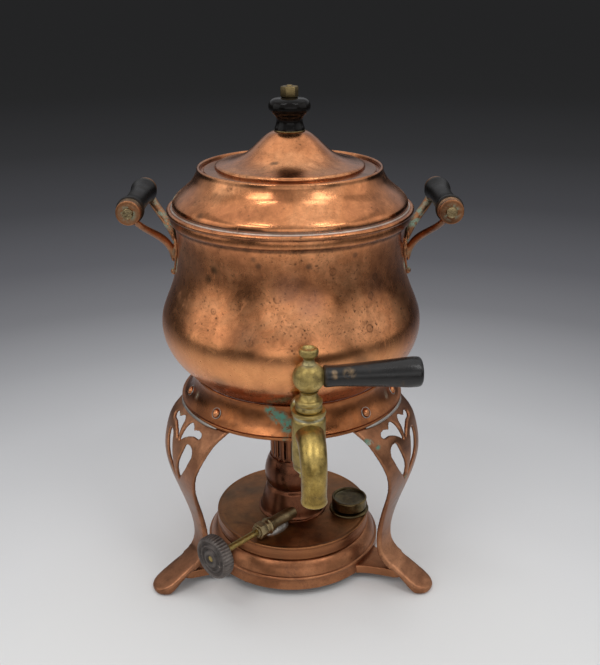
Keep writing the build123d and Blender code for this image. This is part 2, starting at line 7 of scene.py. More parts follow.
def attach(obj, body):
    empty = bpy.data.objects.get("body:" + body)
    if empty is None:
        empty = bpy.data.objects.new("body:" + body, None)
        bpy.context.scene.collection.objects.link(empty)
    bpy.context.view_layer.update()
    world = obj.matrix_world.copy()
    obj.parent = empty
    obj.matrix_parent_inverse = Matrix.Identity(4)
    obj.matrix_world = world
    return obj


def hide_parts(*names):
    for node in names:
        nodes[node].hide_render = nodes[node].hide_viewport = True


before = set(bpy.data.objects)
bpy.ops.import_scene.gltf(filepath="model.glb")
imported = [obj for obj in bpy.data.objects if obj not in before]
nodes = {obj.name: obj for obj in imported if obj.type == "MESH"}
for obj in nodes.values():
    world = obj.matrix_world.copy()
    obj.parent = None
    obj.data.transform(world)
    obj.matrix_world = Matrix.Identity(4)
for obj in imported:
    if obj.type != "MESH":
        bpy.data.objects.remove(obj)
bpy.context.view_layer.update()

mm = 0.001
legAngles = (210, 330, 90)  # left, right and back leg, in degrees round the kettle's axis
print("frame loaded:", len(nodes), "solids")


def arc(x, z, r, start, stop, steps):
    turn = [math.radians(start + (stop - start) * i / steps) for i in range(steps + 1)]
    return [(x + r * math.cos(a), z + r * math.sin(a)) for a in turn]


# short ways to add shader nodes
def makeMaterial(name):
    mat = bpy.data.materials.new(name)
    mat.use_nodes = True
    tree = mat.node_tree
    tree.nodes.clear()
    out = tree.nodes.new("ShaderNodeOutputMaterial")
    shader = tree.nodes.new("ShaderNodeBsdfPrincipled")
    tree.links.new(shader.outputs[0], out.inputs[0])
    return mat, tree, shader


def put(tree, kind, sockets=None, **settings):
    node = tree.nodes.new("ShaderNode" + kind)
    for key, value in settings.items():
        setattr(node, key, value)
    for key, value in (sockets or {}).items():
        if isinstance(value, bpy.types.NodeSocket):
            tree.links.new(value, node.inputs[key])
        else:
            node.inputs[key].default_value = value
    return node


def ramp(tree, source, *stops):
    node = put(tree, "ValToRGB", {0: source})
    bar = node.color_ramp.elements
    while len(bar) < len(stops):
        bar.new(0.5)
    for element, (place, colour) in zip(bar, stops):
        element.position = place
        element.color = (*colour, 1) if isinstance(colour, tuple) else (colour, colour, colour, 1)
    return node.outputs[0]


def noiseAt(tree, where, scale, detail, rough, warp=0.0):
    node = put(tree, "TexNoise", {"Vector": where, "Scale": scale, "Detail": detail, "Roughness": rough,
                                  "Distortion": warp})
    return node.outputs[0]


def stretched(tree, where, scale, turn=(0, 0, 0)):
    return put(tree, "Mapping", {0: where, 2: turn, 3: scale}).outputs[0]


def mixed(tree, factor, first, second, blend="MIX"):
    node = tree.nodes.new("ShaderNodeMix")
    node.data_type = "RGBA"
    node.blend_type = blend
    for index, value in ((0, factor), (6, first), (7, second)):
        if isinstance(value, bpy.types.NodeSocket):
            tree.links.new(value, node.inputs[index])
        else:
            node.inputs[index].default_value = value if index == 0 else (*value[:3], 1)
    return node.outputs[2]


def sums(tree, kind, a, b, clamp=False):
    return put(tree, "Math", {0: a, 1: b}, operation=kind, use_clamp=clamp).outputs[0]


def times(tree, *factors):
    total = factors[0]
    for factor in factors[1:]:
        total = sums(tree, "MULTIPLY", total, factor)
    return total


def added(tree, a, b):
    return sums(tree, "ADD", a, b, clamp=True)


def span(tree, value, low, high, toLow=0.0, toHigh=1.0, kind="SMOOTHSTEP"):
    node = put(tree, "MapRange", {0: value, 1: low, 2: high, 3: toLow, 4: toHigh}, interpolation_type=kind)
    return node.outputs[0]


def near(tree, where, points, radius):
    total = None
    for x, y, z in points:
        gap = put(tree, "VectorMath", {0: where, 1: (x * mm, y * mm, z * mm)}, operation="DISTANCE")
        mask = span(tree, gap.outputs[1], radius * mm, radius * 0.25 * mm)
        total = mask if total is None else sums(tree, "MAXIMUM", total, mask)
    return total


# aged metal: looks give colours and amounts, places in a look are in mm
perMetre = {"cloud": 16, "patch": 52, "ring": 58.0, "mottle": 120, "crust": 210, "grit": 330, "freckle": 620}


def ringMarks(tree, where, patch):
    spot = put(tree, "TexVoronoi", {"Vector": where, "Scale": perMetre["ring"], "Randomness": 1.0}).outputs[0]
    halo = times(tree, span(tree, spot, 0.10, 0.135), span(tree, spot, 0.19, 0.15))
    disk = times(tree, span(tree, spot, 0.17, 0.1), 0.45)
    return times(tree, sums(tree, "MAXIMUM", halo, disk), ramp(tree, patch, (0.42, 0.0), (0.56, 1.0)))


def pitMarks(tree, where, patch, look):
    scale = look.get("spotScale", 240.0)
    spot = put(tree, "TexVoronoi", {"Vector": where, "Scale": scale, "Randomness": 1.0}).outputs[0]
    pit = span(tree, spot, 0.02, look.get("spotSize", 0.22), 1.0, 0.0)
    return times(tree, pit, ramp(tree, patch, (0.47, 0.0), (0.62, 1.0)), look.get("spots", 0.7))


def metalFinish(name, look):
    mat, tree, shader = makeMaterial(name)
    where = put(tree, "TexCoord").outputs["Object"]
    height = put(tree, "SeparateXYZ", {0: where}).outputs[2]
    size = look.get("size", 1.0)
    cloud = noiseAt(tree, where, perMetre["cloud"] / size, 5, 0.62, 0.6)
    patch = noiseAt(tree, where, perMetre["patch"] / size, 6, 0.7, 1.2)
    grit = noiseAt(tree, where, perMetre["grit"] / size, 3, 0.7)

    # the metal itself, cloudy and blotched
    colour = ramp(tree, cloud, (0.34, look["deep"]), (0.5, look["base"]), (0.68, look["bright"]))
    blotch = times(tree, ramp(tree, patch, (0.52, 0.0), (0.72, 1.0)), look.get("blotch", 0.5))
    colour = mixed(tree, blotch, colour, look["stain"])
    fleck = noiseAt(tree, where, perMetre["mottle"] / size, 8, 0.78, 0.3)
    mottle = ramp(tree, fleck, (0.36, 0.62), (0.62, 1.18))
    colour = mixed(tree, look.get("mottle", 0.5), colour, mottle, "MULTIPLY")

    # dried drops, runs, freckles and pits
    rings = times(tree, ringMarks(tree, where, patch), look.get("rings", 0.0))
    colour = mixed(tree, rings, colour, look["stain"])
    runs = noiseAt(tree, stretched(tree, where, (190, 190, 7)), 1.0, 3, 0.6)
    streak = ramp(tree, runs, (0.36, 0.82), (0.64, 1.1))
    colour = mixed(tree, look.get("streaks", 0.3), colour, streak, "MULTIPLY")
    fine = noiseAt(tree, where, perMetre["freckle"] / size, 4, 0.7, 0.8)
    freckle = times(tree, ramp(tree, fine, (0.585, 0.0), (0.66, 1.0)),
                    ramp(tree, cloud, (0.42, 0.15), (0.6, 1.0)), look.get("freckles", 0.5))
    colour = mixed(tree, freckle, colour, look["spot"])
    pit = pitMarks(tree, where, patch, look)
    colour = mixed(tree, pit, colour, look["spot"])

    # worn edges catch the polish, hollows hold the tarnish
    curve = put(tree, "NewGeometry").outputs["Pointiness"]
    hollow = times(tree, ramp(tree, curve, (0.42, 1.0), (0.495, 0.0)), look.get("hollow", 0.7))
    colour = mixed(tree, hollow, colour, look.get("crease", look["stain"]))
    edge = times(tree, ramp(tree, curve, (0.51, 0.0), (0.6, 1.0)), look.get("edge", 0.5))
    colour = mixed(tree, edge, colour, look["bright"])
    rough = sums(tree, "ADD", span(tree, cloud, 0.3, 0.7, *look["rough"]), times(tree, blotch, 0.22))
    rough = added(tree, rough, times(tree, pit, 0.3))

    # bands lie between two heights, clouds round points, crust is dull and broken at its edge
    for low, high, tint, amount in look.get("bands", ()):
        rise = span(tree, height, (low - 1.5) * mm, (low + 0.5) * mm)
        fall = span(tree, height, (high - 0.5) * mm, (high + 1.5) * mm, 1.0, 0.0)
        broken = ramp(tree, patch, (0.3, amount * 0.55), (0.6, amount))
        colour = mixed(tree, times(tree, rise, fall, broken), colour, tint)
    for tint, points, radius, amount in look.get("clouds", ()):
        faded = ramp(tree, patch, (0.3, 0.45), (0.6, 1.0))
        mask = times(tree, near(tree, where, points, radius), faded, amount)
        colour = mixed(tree, mask, colour, tint)
    metallic = look.get("metallic", 1.0)
    for tint, points, radius, edgeAt in look.get("crust", ()):
        flake = noiseAt(tree, where, perMetre["crust"], 6, 0.75, 0.5)
        broken = ramp(tree, flake, (edgeAt, 0.0), (edgeAt + 0.12, 1.0))
        mask = times(tree, near(tree, where, points, radius), broken)
        colour = mixed(tree, mask, colour, tint)
        rough = added(tree, rough, times(tree, mask, 0.5))
        metallic = times(tree, metallic, sums(tree, "SUBTRACT", 1.0, mask))

    # fine scratches, brushing and dents
    scratched = noiseAt(tree, stretched(tree, where, (40, 900, 60), (0.4, 0.9, 0.5)), 1.0, 2, 0.5)
    scratch = times(tree, ramp(tree, scratched, (0.66, 0.0), (0.72, 1.0)), look.get("scratch", 0.12))
    tree.links.new(colour, shader.inputs["Base Color"])
    tree.links.new(added(tree, rough, scratch), shader.inputs["Roughness"])
    if isinstance(metallic, float):
        shader.inputs["Metallic"].default_value = metallic
    else:
        tree.links.new(metallic, shader.inputs["Metallic"])
    brushed = noiseAt(tree, stretched(tree, where, look.get("brush", (30, 30, 700))), 1.0, 3, 0.6)
    dents = noiseAt(tree, where, look.get("dentScale", 26.0), 2, 0.4)
    relief = put(tree, "Bump", {"Strength": look.get("dents", 0.12), "Distance": 0.003, "Height": dents})
    grain = sums(tree, "ADD", times(tree, brushed, 0.5), times(tree, grit, 0.7))
    grain = sums(tree, "SUBTRACT", grain, times(tree, pit, 1.2))
    relief = put(tree, "Bump", {"Strength": look.get("grain", 0.12), "Distance": 0.0003, "Height": grain,
                                "Normal": relief.outputs[0]})
    tree.links.new(relief.outputs[0], shader.inputs["Normal"])
    return mat


# ebonised wood, rubbed through on its edges and where fingers wear it
def woodFinish(name, look):
    mat, tree, shader = makeMaterial(name)
    where = put(tree, "TexCoord").outputs["Object"]
    grain = noiseAt(tree, stretched(tree, where, look["grain"]), 1.0, 5, 0.65, 0.8)
    worn = noiseAt(tree, where, 75, 6, 0.72, 0.5)
    colour = ramp(tree, grain, (0.35, look["deep"]), (0.7, look["bright"]))
    edge = ramp(tree, put(tree, "NewGeometry").outputs["Pointiness"], (0.52, 0.0), (0.6, 1.0))
    rub = times(tree, sums(tree, "MAXIMUM", ramp(tree, worn, (0.6, 0.0), (0.72, 1.0)), edge), look["wear"])
    colour = mixed(tree, rub, colour, look["rubbed"])
    for points, radius in look.get("patches", ()):
        mask = times(tree, near(tree, where, points, radius), ramp(tree, worn, (0.42, 0.0), (0.56, 0.9)))
        colour = mixed(tree, mask, colour, look["bare"])
    rough = added(tree, span(tree, worn, 0.3, 0.7, *look["rough"]), times(tree, rub, 0.3))
    tree.links.new(colour, shader.inputs["Base Color"])
    tree.links.new(rough, shader.inputs["Roughness"])
    shader.inputs["Coat Weight"].default_value = 0.06
    shader.inputs["Coat Roughness"].default_value = 0.2
    shader.inputs["IOR"].default_value = look["ior"]
    shader.inputs["Specular IOR Level"].default_value = look["shine"]
    height = sums(tree, "ADD", grain, times(tree, worn, 0.6))
    bump = put(tree, "Bump", {"Strength": 0.25, "Distance": 0.0004, "Height": height})
    tree.links.new(bump.outputs[0], shader.inputs["Normal"])
    return mat


green = (0.10, 0.24, 0.17)
deepGreen = (0.09, 0.30, 0.22)
paleGreen = (0.30, 0.42, 0.33)
tinGrey = (0.42, 0.40, 0.36)


def bothSides(*places):
    return [(side * x, y, z) for side in (-1, 1) for x, y, z in places]


plateSpots = bothSides((80, 0, 262), (80, 9, 250), (80, -9, 250), (80, 0, 233), (80, 12, 240), (80, -12, 240))
paintedBellyShine = [(x, y, 190) for x, y in arc(0, 0, 90, -160, -43, 9)]  # a painted highlight round the front of the belly, standing in for the reflection of the floor and the front lamps
potLook = {
    "base": (0.65, 0.255, 0.105), "bright": (0.77, 0.355, 0.165), "deep": (0.47, 0.175, 0.075),
    "stain": (0.20, 0.085, 0.04), "spot": (0.06, 0.032, 0.02), "blotch": 0.5, "spots": 1.0,
    "rough": (0.2, 0.33), "spotScale": 300.0, "spotSize": 0.34, "dents": 0.10, "grain": 0.06,
    "edge": 0.15, "hollow": 0.3, "mottle": 0.7, "freckles": 0.95, "rings": 0.8, "streaks": 0.5,
    "bands": [(267.2, 269.6, (0.07, 0.035, 0.022), 0.95), (275.0, 276.2, (0.10, 0.05, 0.03), 0.8)],
    # painted highlight: lighter copper round the front of the belly
    "clouds": [((0.95, 0.42, 0.17), paintedBellyShine, 23, 0.74),
               # painted highlights: lighter patches on the left front of the belly, standing in for a
               # window's reflection
               ((0.86, 0.37, 0.165), [(-78, -45, 190), (-70, -58, 182), (-72, -40, 222)], 24, 0.55),
               # darker patches at the front of the neck: partly stain, partly a painted dark reflection
               ((0.26, 0.12, 0.085), [(0, -76, 243), (12, -78, 235)], 15, 0.65),
               ((0.28, 0.14, 0.09), [(52, -57, 238), (-60, -48, 250), (-30, -88, 215)], 14, 0.38),
               ((0.12, 0.07, 0.035), [(-52, -59, 244), (-51, -75, 214), (-48, -62, 251)], 4.2, 0.9),
               ((0.14, 0.075, 0.045), [(-22, -75, 262), (-19, -76, 258), (41, -68, 262), (12, -78, 258),
                                       (44, -62, 251)], 3.0, 0.85),
               ((0.17, 0.10, 0.06), [(45, -80, 194), (50, -77, 190), (-45, -74, 177), (6, -78, 166),
                                     (14, -77, 164)], 9, 0.6)],
    "crust": [(paleGreen, plateSpots, 10, 0.44)]}
shoulderLook = dict(
    potLook, blotch=0.42, spots=0.6, rough=(0.17, 0.28), freckles=0.45, rings=0.4,
    bands=[(270, 279.6, tinGrey, 0.95), (303.0, 304.4, (0.17, 0.09, 0.05), 0.5)],
    clouds=[((0.14, 0.085, 0.05), [(-8.6, -30.4, 312.4), (-11, -30, 312)], 2.6, 0.85),
            ((0.2, 0.10, 0.055), [(-56, -56, 284)], 4, 0.7)],
    crust=[(paleGreen, [(-80, 0, 280), (80, 8, 280)], 12, 0.44)])
rivetLook = dict(potLook, clouds=[], bands=[], crust=[], rings=0.0, blotch=0.3, rough=(0.22, 0.34))
standLook = {
    "base": (0.36, 0.135, 0.05), "bright": (0.60, 0.25, 0.10), "deep": (0.22, 0.085, 0.035),
    "stain": (0.10, 0.05, 0.035), "spot": (0.05, 0.03, 0.022), "blotch": 0.45, "spots": 0.6,
    "rough": (0.26, 0.44), "dents": 0.12, "grain": 0.10, "edge": 0.55, "hollow": 0.6, "spotScale": 300.0,
    "crust": [(deepGreen, [(-14, -70.6, 155), (-10.5, -71.4, 152), (-6, -72.4, 151.5), (-7, -73.6, 148),
                           (-1.5, -74.5, 147.5), (-3, -75, 145)], 5.2, 0.40),
              (deepGreen, [(-4, -78.6, 139.9)], 4, 0.44),
              (paleGreen, [(70, -31, 149), (-70, -31, 149)], 6, 0.44)]}
collarLook = dict(standLook, base=(0.29, 0.10, 0.035), bright=(0.53, 0.205, 0.08), deep=(0.17, 0.062, 0.025),
                  rough=(0.2, 0.36))
legLook = dict(
    standLook, base=(0.31, 0.135, 0.068), bright=(0.50, 0.235, 0.12), deep=(0.2, 0.09, 0.047), size=0.8,
    crust=[(green, [(51, -70, 131), (59, -68.5, 127), (85, -40, 115), (82, -47, 91), (-79, -32, 132),
                    (-87, -36, 91)], 3.4, 0.44),
           (paleGreen, [(53, -69.5, 129.5), (-72, -52, 128)], 4, 0.44)])
trayLook = dict(standLook, base=(0.30, 0.12, 0.055), bright=(0.50, 0.22, 0.105), deep=(0.18, 0.075, 0.036))
columnLook = dict(standLook, base=(0.21, 0.08, 0.038), bright=(0.42, 0.16, 0.075), deep=(0.12, 0.045, 0.024))
bracketLook = dict(
    standLook, base=(0.29, 0.125, 0.055), bright=(0.5, 0.225, 0.105), deep=(0.15, 0.065, 0.033),
    crust=[((0.24, 0.42, 0.31), bothSides((105, -34, 281.5), (105, 34, 281.5), (80, 0, 262), (80, 8, 250),
                                          (80, -8, 250), (80, 0, 236)), 8, 0.44),
           ((0.34, 0.56, 0.43), bothSides((101, 30, 279), (96, 25, 277), (91, 20, 271), (87, 15, 264)), 9,
            0.44)])
reservoirLook = {
    "base": (0.265, 0.115, 0.046), "bright": (0.43, 0.185, 0.072), "deep": (0.13, 0.07, 0.033),
    "stain": (0.085, 0.05, 0.03), "spot": (0.04, 0.028, 0.02), "blotch": 0.55, "spots": 0.5,
    "rough": (0.30, 0.5), "dents": 0.15, "grain": 0.12, "edge": 0.5, "hollow": 0.6,
    "brush": (260, 260, 30), "bands": [(28.5, 36.6, (0.33, 0.13, 0.06), 0.75)]}
brassLook = {
    "base": (0.40, 0.29, 0.095), "bright": (0.60, 0.46, 0.18), "deep": (0.25, 0.175, 0.06),
    "stain": (0.13, 0.10, 0.05), "spot": (0.06, 0.05, 0.03), "crease": (0.36, 0.35, 0.26), "blotch": 0.6,
    "spots": 0.8, "mottle": 0.8, "streaks": 0.6, "freckles": 0.85, "rough": (0.32, 0.5), "dents": 0.22,
    "grain": 0.26, "edge": 0.7, "hollow": 0.8, "size": 0.45, "spotScale": 420.0, "scratch": 0.25,
    "brush": (80, 80, 160), "dentScale": 90.0}
tapLook = dict(brassLook, bands=[(172.2, 172.9, (0.58, 0.62, 0.5), 0.8),
                                 (134.0, 135.2, (0.5, 0.52, 0.4), 0.7),
                                 (206.8, 209.4, (0.42, 0.4, 0.26), 0.5)])
spoutLook = dict(brassLook, base=(0.365, 0.245, 0.065), bright=(0.56, 0.40, 0.125), deep=(0.21, 0.135, 0.04),
                 rough=(0.24, 0.36), grain=0.16)
fittingLook = dict(brassLook, base=(0.27, 0.195, 0.095), bright=(0.46, 0.36, 0.2), deep=(0.14, 0.10, 0.05),
                   crease=(0.30, 0.33, 0.24))
darkLook = dict(brassLook, base=(0.10, 0.07, 0.045), bright=(0.36, 0.2, 0.11), deep=(0.045, 0.035, 0.026),
                crease=(0.03, 0.025, 0.02))
fillerLook = dict(brassLook, base=(0.135, 0.098, 0.045), bright=(0.26, 0.19, 0.085),
                  deep=(0.075, 0.055, 0.028), stain=(0.045, 0.035, 0.022), crease=(0.20, 0.21, 0.15),
                  rough=(0.3, 0.46))
ironLook = {
    "base": (0.12, 0.10, 0.09), "bright": (0.30, 0.26, 0.23), "deep": (0.05, 0.043, 0.04),
    "stain": (0.04, 0.03, 0.026), "spot": (0.02, 0.018, 0.016), "blotch": 0.5, "spots": 0.6,
    "rough": (0.38, 0.6), "dents": 0.2, "grain": 0.5, "edge": 0.8, "hollow": 0.8, "size": 0.5,
    "metallic": 0.85, "spotScale": 500.0}
solderLook = dict(ironLook, base=(0.36, 0.34, 0.31), bright=(0.55, 0.53, 0.49), deep=(0.2, 0.17, 0.14),
                  stain=(0.16, 0.11, 0.08), rough=(0.35, 0.5), metallic=0.9)
tinLook = dict(solderLook, base=(0.50, 0.38, 0.31), bright=(0.68, 0.57, 0.49), deep=(0.30, 0.19, 0.13),
               blotch=0.6)
gripLook = {
    "deep": (0.004, 0.0035, 0.003), "bright": (0.009, 0.0075, 0.0065), "rubbed": (0.07, 0.043, 0.023),
    "bare": (0.30, 0.19, 0.09), "wear": 0.4, "rough": (0.24, 0.38), "grain": (320, 45, 320), "ior": 1.32,
    "shine": 0.2}
knobLook = dict(gripLook, grain=(70, 70, 420), wear=0.04, rough=(0.09, 0.15))
leverLook = dict(gripLook, bright=(0.012, 0.010, 0.009), grain=(40, 320, 320), wear=0.7, rough=(0.24, 0.4),
                 ior=1.5, shine=0.42, patches=[([(27, -113.3, 202.6), (27, -114, 200)], 2.6),
                                               ([(36, -112.8, 202)], 5.0)])

copperPot = metalFinish("copperPot", potLook)
copperShoulder = metalFinish("copperShoulder", shoulderLook)
copperStand = metalFinish("copperStand", standLook)
copperCollar = metalFinish("copperCollar", collarLook)
copperLeg = metalFinish("copperLeg", legLook)
copperTray = metalFinish("copperTray", trayLook)
copperColumn = metalFinish("copperColumn", columnLook)
copperBracket = metalFinish("copperBracket", bracketLook)
copperBurner = metalFinish("copperBurner", reservoirLook)
rivetCopper = metalFinish("rivetCopper", rivetLook)
brassTap = metalFinish("brassTap", tapLook)
brassSpout = metalFinish("brassSpout", spoutLook)
brassFitting = metalFinish("brassFitting", fittingLook)
darkFitting = metalFinish("darkFitting", darkLook)
fillerBrass = metalFinish("fillerBrass", fillerLook)
ironKnob = metalFinish("ironKnob", ironLook)
greySolder = metalFinish("greySolder", solderLook)
paleTin = metalFinish("paleTin", tinLook)
blackGrip = woodFinish("blackGrip", gripLook)
blackKnob = woodFinish("blackKnob", knobLook)
blackLever = woodFinish("blackLever", leverLook)
print("finishes ready")


# short ways to make and finish meshes, all lengths given in mm
def smoothRun(points, steps):
    out = []
    pts = [Vector(p) for p in points]
    for i in range(len(pts) - 1):
        a, b = pts[i], pts[i + 1]
        before, after = pts[max(i - 1, 0)], pts[min(i + 2, len(pts) - 1)]
        gap = (b - a).length
        slopeA = (b - before) / max((a - before).length + gap, 1e-9) * gap
        slopeB = (after - a) / max((after - b).length + gap, 1e-9) * gap
        for k in range(steps):
            t = k / steps
            out.append((2 * t**3 - 3 * t**2 + 1) * a + (t**3 - 2 * t**2 + t) * slopeA
                       + (3 * t**2 - 2 * t**3) * b + (t**3 - t**2) * slopeB)
    return out + [pts[-1]]


def insetRun(points, depth):
    pts = [Vector(p) for p in points]
    out = []
    for i, p in enumerate(pts):
        way = pts[min(i + 1, len(pts) - 1)] - pts[max(i - 1, 0)]
        way.normalize()
        out.append(p + Vector((-way[1], way[0])) * depth)
    return out


def addObject(name, data):
    thing = bpy.data.objects.new(name, data)
    bpy.context.scene.collection.objects.link(thing)
    return thing


def meshFrom(name, bm):
    mesh = bpy.data.meshes.new(name)
    bm.to_mesh(mesh)
    bm.free()
    return mesh


def withModifiers(thing):
    bpy.context.view_layer.update()
    return bpy.data.meshes.new_from_object(thing.evaluated_get(bpy.context.evaluated_depsgraph_get()))


def dress(name, mesh, mat, body, replaced, bevel, angle):
    mesh.shade_smooth()
    mesh.set_sharp_from_angle(angle=math.radians(angle))
    mesh.materials.clear()
    mesh.materials.append(mat)
    piece = addObject(name, mesh)
    if bevel:
        edges = piece.modifiers.new("edges", "BEVEL")
        edges.width = bevel * mm
        edges.segments = 2
        edges.limit_method = "ANGLE"
        edges.angle_limit = math.radians(angle)
        edges.use_clamp_overlap = True
    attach(piece, body)
    if replaced:
        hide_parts(*([replaced] if isinstance(replaced, str) else replaced))
    return piece


def finishPiece(name, bm, mat, body, replaced=(), place=None, bevel=0.0, angle=34):
    if place is not None:
        bmesh.ops.transform(bm, matrix=place, verts=bm.verts)
    bmesh.ops.remove_doubles(bm, verts=bm.verts, dist=2e-6)
    bmesh.ops.recalc_face_normals(bm, faces=bm.faces)
    return dress(name, meshFrom(name, bm), mat, body, replaced, bevel, angle)


def addWall(piece, thickness):
    wall = piece.modifiers.new("wall", "SOLIDIFY")
    wall.thickness = thickness * mm
    wall.offset = -1


def placeAt(x=0.0, y=0.0, z=0.0, turn=0.0, tilt=None):
    spot = Matrix.Rotation(math.radians(turn), 4, "Z") @ Matrix.Translation((x * mm, y * mm, z * mm))
    return spot @ tilt if tilt is not None else spot


def leaning(angle):
    return Matrix.Rotation(math.radians(angle), 4, "Y")


alongX = leaning(90)  # a piece drawn up Z then lies along +X
alongY = Matrix.Rotation(math.radians(-90), 4, "X")


def spun(profile, turns=96, bm=None):
    bm = bm or bmesh.new()
    verts = [bm.verts.new((max(p[0], 0.0) * mm, 0, p[1] * mm)) for p in profile]
    edges = [bm.edges.new(pair) for pair in zip(verts, verts[1:])]
    if profile[0][0] > 0:  # a profile that starts on the axis stays open
        edges.append(bm.edges.new((verts[-1], verts[0])))
    bmesh.ops.spin(bm, geom=verts + edges, cent=(0, 0, 0), axis=(0, 0, 1), angle=math.tau, steps=turns,
                   use_merge=True)
    bmesh.ops.remove_doubles(bm, verts=bm.verts, dist=2e-6)
    return bm


def absorb(bm, other, place=None):
    if place is not None:
        bmesh.ops.transform(other, matrix=place, verts=other.verts)
    part = meshFrom("part", other)
    bm.from_mesh(part)
    bpy.data.meshes.remove(part)
    return bm


def tubeAlong(path, radii, sides, capped=True, bm=None):
    bm = bm or bmesh.new()
    pts = [Vector(p) * mm for p in path]
    upright = Vector((0, 0, 1))
    rings = []
    for i, p in enumerate(pts):
        way = (pts[min(i + 1, len(pts) - 1)] - pts[max(i - 1, 0)]).normalized()
        across = way.cross(upright) if abs(way.dot(upright)) < 0.99 else Vector((0, 1, 0)).cross(way)
        across.normalize()
        spot = Matrix((across, across.cross(way), way)).transposed().to_4x4()
        spot.translation = p
        ring = bmesh.ops.create_circle(bm, segments=sides, radius=radii[i] * mm)["verts"]
        bmesh.ops.transform(bm, matrix=spot, verts=ring)
        rings.append(set(ring))
    loops = [[e for e in bm.edges if e.verts[0] in ring and e.verts[1] in ring] for ring in rings]
    for a, b in zip(loops, loops[1:]):
        bmesh.ops.bridge_loops(bm, edges=a + b)
    if capped:
        bmesh.ops.edgenet_fill(bm, edges=loops[0])
        bmesh.ops.edgenet_fill(bm, edges=loops[-1])
    return bm


def vertsIn(geom):
    return [g for g in geom if isinstance(g, bmesh.types.BMVert)]


def hexNut(flats, low, high, turn=0.0, chamfer=0.07):
    bm = bmesh.new()
    ring = bmesh.ops.create_circle(bm, segments=6, radius=flats / math.sqrt(3) * mm, cap_ends=True)
    faces = list({f for v in ring["verts"] for f in v.link_faces})
    up = bmesh.ops.extrude_face_region(bm, geom=faces)["geom"]
    bmesh.ops.translate(bm, vec=(0, 0, (high - low) * mm), verts=vertsIn(up))
    bmesh.ops.transform(bm, matrix=placeAt(0, 0, low, turn), verts=bm.verts)
    flat = [e for e in bm.edges if abs(e.verts[0].co.z - e.verts[1].co.z) < 1e-6]
    bmesh.ops.bevel(bm, geom=flat, offset=flats * chamfer * mm, segments=2, profile=0.5, affect="EDGES",
                    material=-1)
    return bm


def ripple(verts, waves, depth):
    for v in verts:
        k = 1 + depth * math.cos(math.atan2(v.co.y, v.co.x) * waves)
        v.co.x *= k
        v.co.y *= k


def soften(bm, verts, passes):
    for _ in range(passes):
        bmesh.ops.smooth_vert(bm, verts=verts, factor=0.5, use_axis_x=True, use_axis_y=True, use_axis_z=True)


# the pot: one raised sheet, bellied below and beaded at the rim
pot = {
    "wall": 1.2, "flat": [(0, 152.5), (30, 152.5)], "heel": [(55, 152.5), (63, 154.3), (68, 157.5)],
    "side": [(68, 157.5), (73.5, 162.0), (78.9, 167.2), (83.9, 172.9), (87.7, 179.0), (90.6, 186.5),
        (92, 195), (91.3, 203.5), (88.8, 211), (85.6, 218.7), (82.4, 227.3), (80.2, 236), (78.9, 246),
        (78.7, 257), (79.3, 264), (80.4, 268.6)],
    "band": [(80.75, 269.1), (81.9, 269.25), (82.5, 269.9), (82.75, 271.2), (82.75, 274.0), (82.45, 274.9)],
    "rim": arc(83.0, 276.9, 1.7, -112, 170, 16) + [(80.8, 276.4), (80.8, 272.0)]}
wall = [Vector(p) for p in pot["flat"]] + smoothRun(pot["heel"], 5)[:-1] + smoothRun(pot["side"], 7)
inside = insetRun(wall, pot["wall"])
inside[0] = Vector((0, pot["flat"][0][1] + pot["wall"]))
bm = spun(wall + pot["band"] + pot["rim"] + inside[::-1], turns=160)
finishPiece("potBody", bm, copperPot, "pot", "pot_shell", angle=50)

shoulder = {
    "wall": 1.1, "foot": [(80.75, 271.7)],
    "side": [(80.3, 277.8), (80.7, 280.3), (80.1, 283.0), (77.6, 286.0), (73.6, 289.4), (69.6, 292.8),
        (66.6, 296.2), (64.6, 299.6), (63.3, 302.4), (62.9, 304.2)],
    "mouth": arc(61.9, 304.3, 1.25, 0, 180, 10),
    "ledge": [(60.4, 303.6), (60.2, 302.7), (52.3, 302.4), (52.1, 301.4), (60.6, 301.3)],
    "skirt": [(79.6, 271.7)]}
under = insetRun(shoulder["side"], shoulder["wall"])[::-1][1:]
bm = spun(shoulder["foot"] + smoothRun(shoulder["side"], 5) + shoulder["mouth"] + shoulder["ledge"] + under
          + shoulder["skirt"], turns=160)
finishPiece("potShoulder", bm, copperShoulder, "pot", "pot_shoulder", angle=50)

# tinning left along the rim, under the shoulder
rimTin = {"turns": 160, "profile": arc(81.15, 278.25, 0.95, 0, 360, 12)[:-1]}
finishPiece("rimTin", spun(**rimTin), paleTin, "pot")
print("pot done")

# the lid: a domed disc with a rolled edge and a deep flange inside the mouth
lid = {
    "wall": 1.1, "hole": [(2.3, 327.2), (2.3, 328.3)],
    "dome": [(50.9, 304.2), (50.7, 306.0), (49.6, 306.9), (45.0, 307.8), (38.4, 309.4), (32.4, 311.9),
        (27.6, 315.1), (22.9, 319.4), (18.8, 323.2), (15.4, 326.0), (12.6, 327.6), (10.4, 328.25)],
    "edge": [(52.0, 303.9), (57.6, 303.85)] + arc(58.0, 303.3, 0.5, 80, -90, 8),
    "flange": [(51.7, 302.75), (51.65, 294.0), (50.5, 293.8), (50.5, 302.7), (49.8, 303.2)],
    "crown": [(10.4, 327.2)]}
dome = smoothRun(lid["dome"], 6)
under = insetRun(dome, lid["wall"])[4:-2]
bm = spun(lid["hole"] + dome[::-1] + lid["edge"] + lid["flange"] + under + lid["crown"], turns=160)
finishPiece("lidDome", bm, copperShoulder, "lid", "lid_shell", angle=50)

knob = {"profile": [
    (2.25, 329.15), (9.9, 329.15),
    *smoothRun([(10.2, 329.2), (10.0, 330.5), (9.3, 332.4), (8.85, 334.4), (9.1, 336.2), (10.3, 338.2),
        (12.2, 340.0), (13.6, 341.9), (14.1, 343.8), (13.85, 345.8), (13.0, 347.7), (11.4, 349.0),
        (9.4, 349.7), (7.2, 349.95)], 6),
    (2.25, 350.0)]}
finishPiece("lidKnob", spun(**knob), blackKnob, "lid", "lid_knob", angle=50)

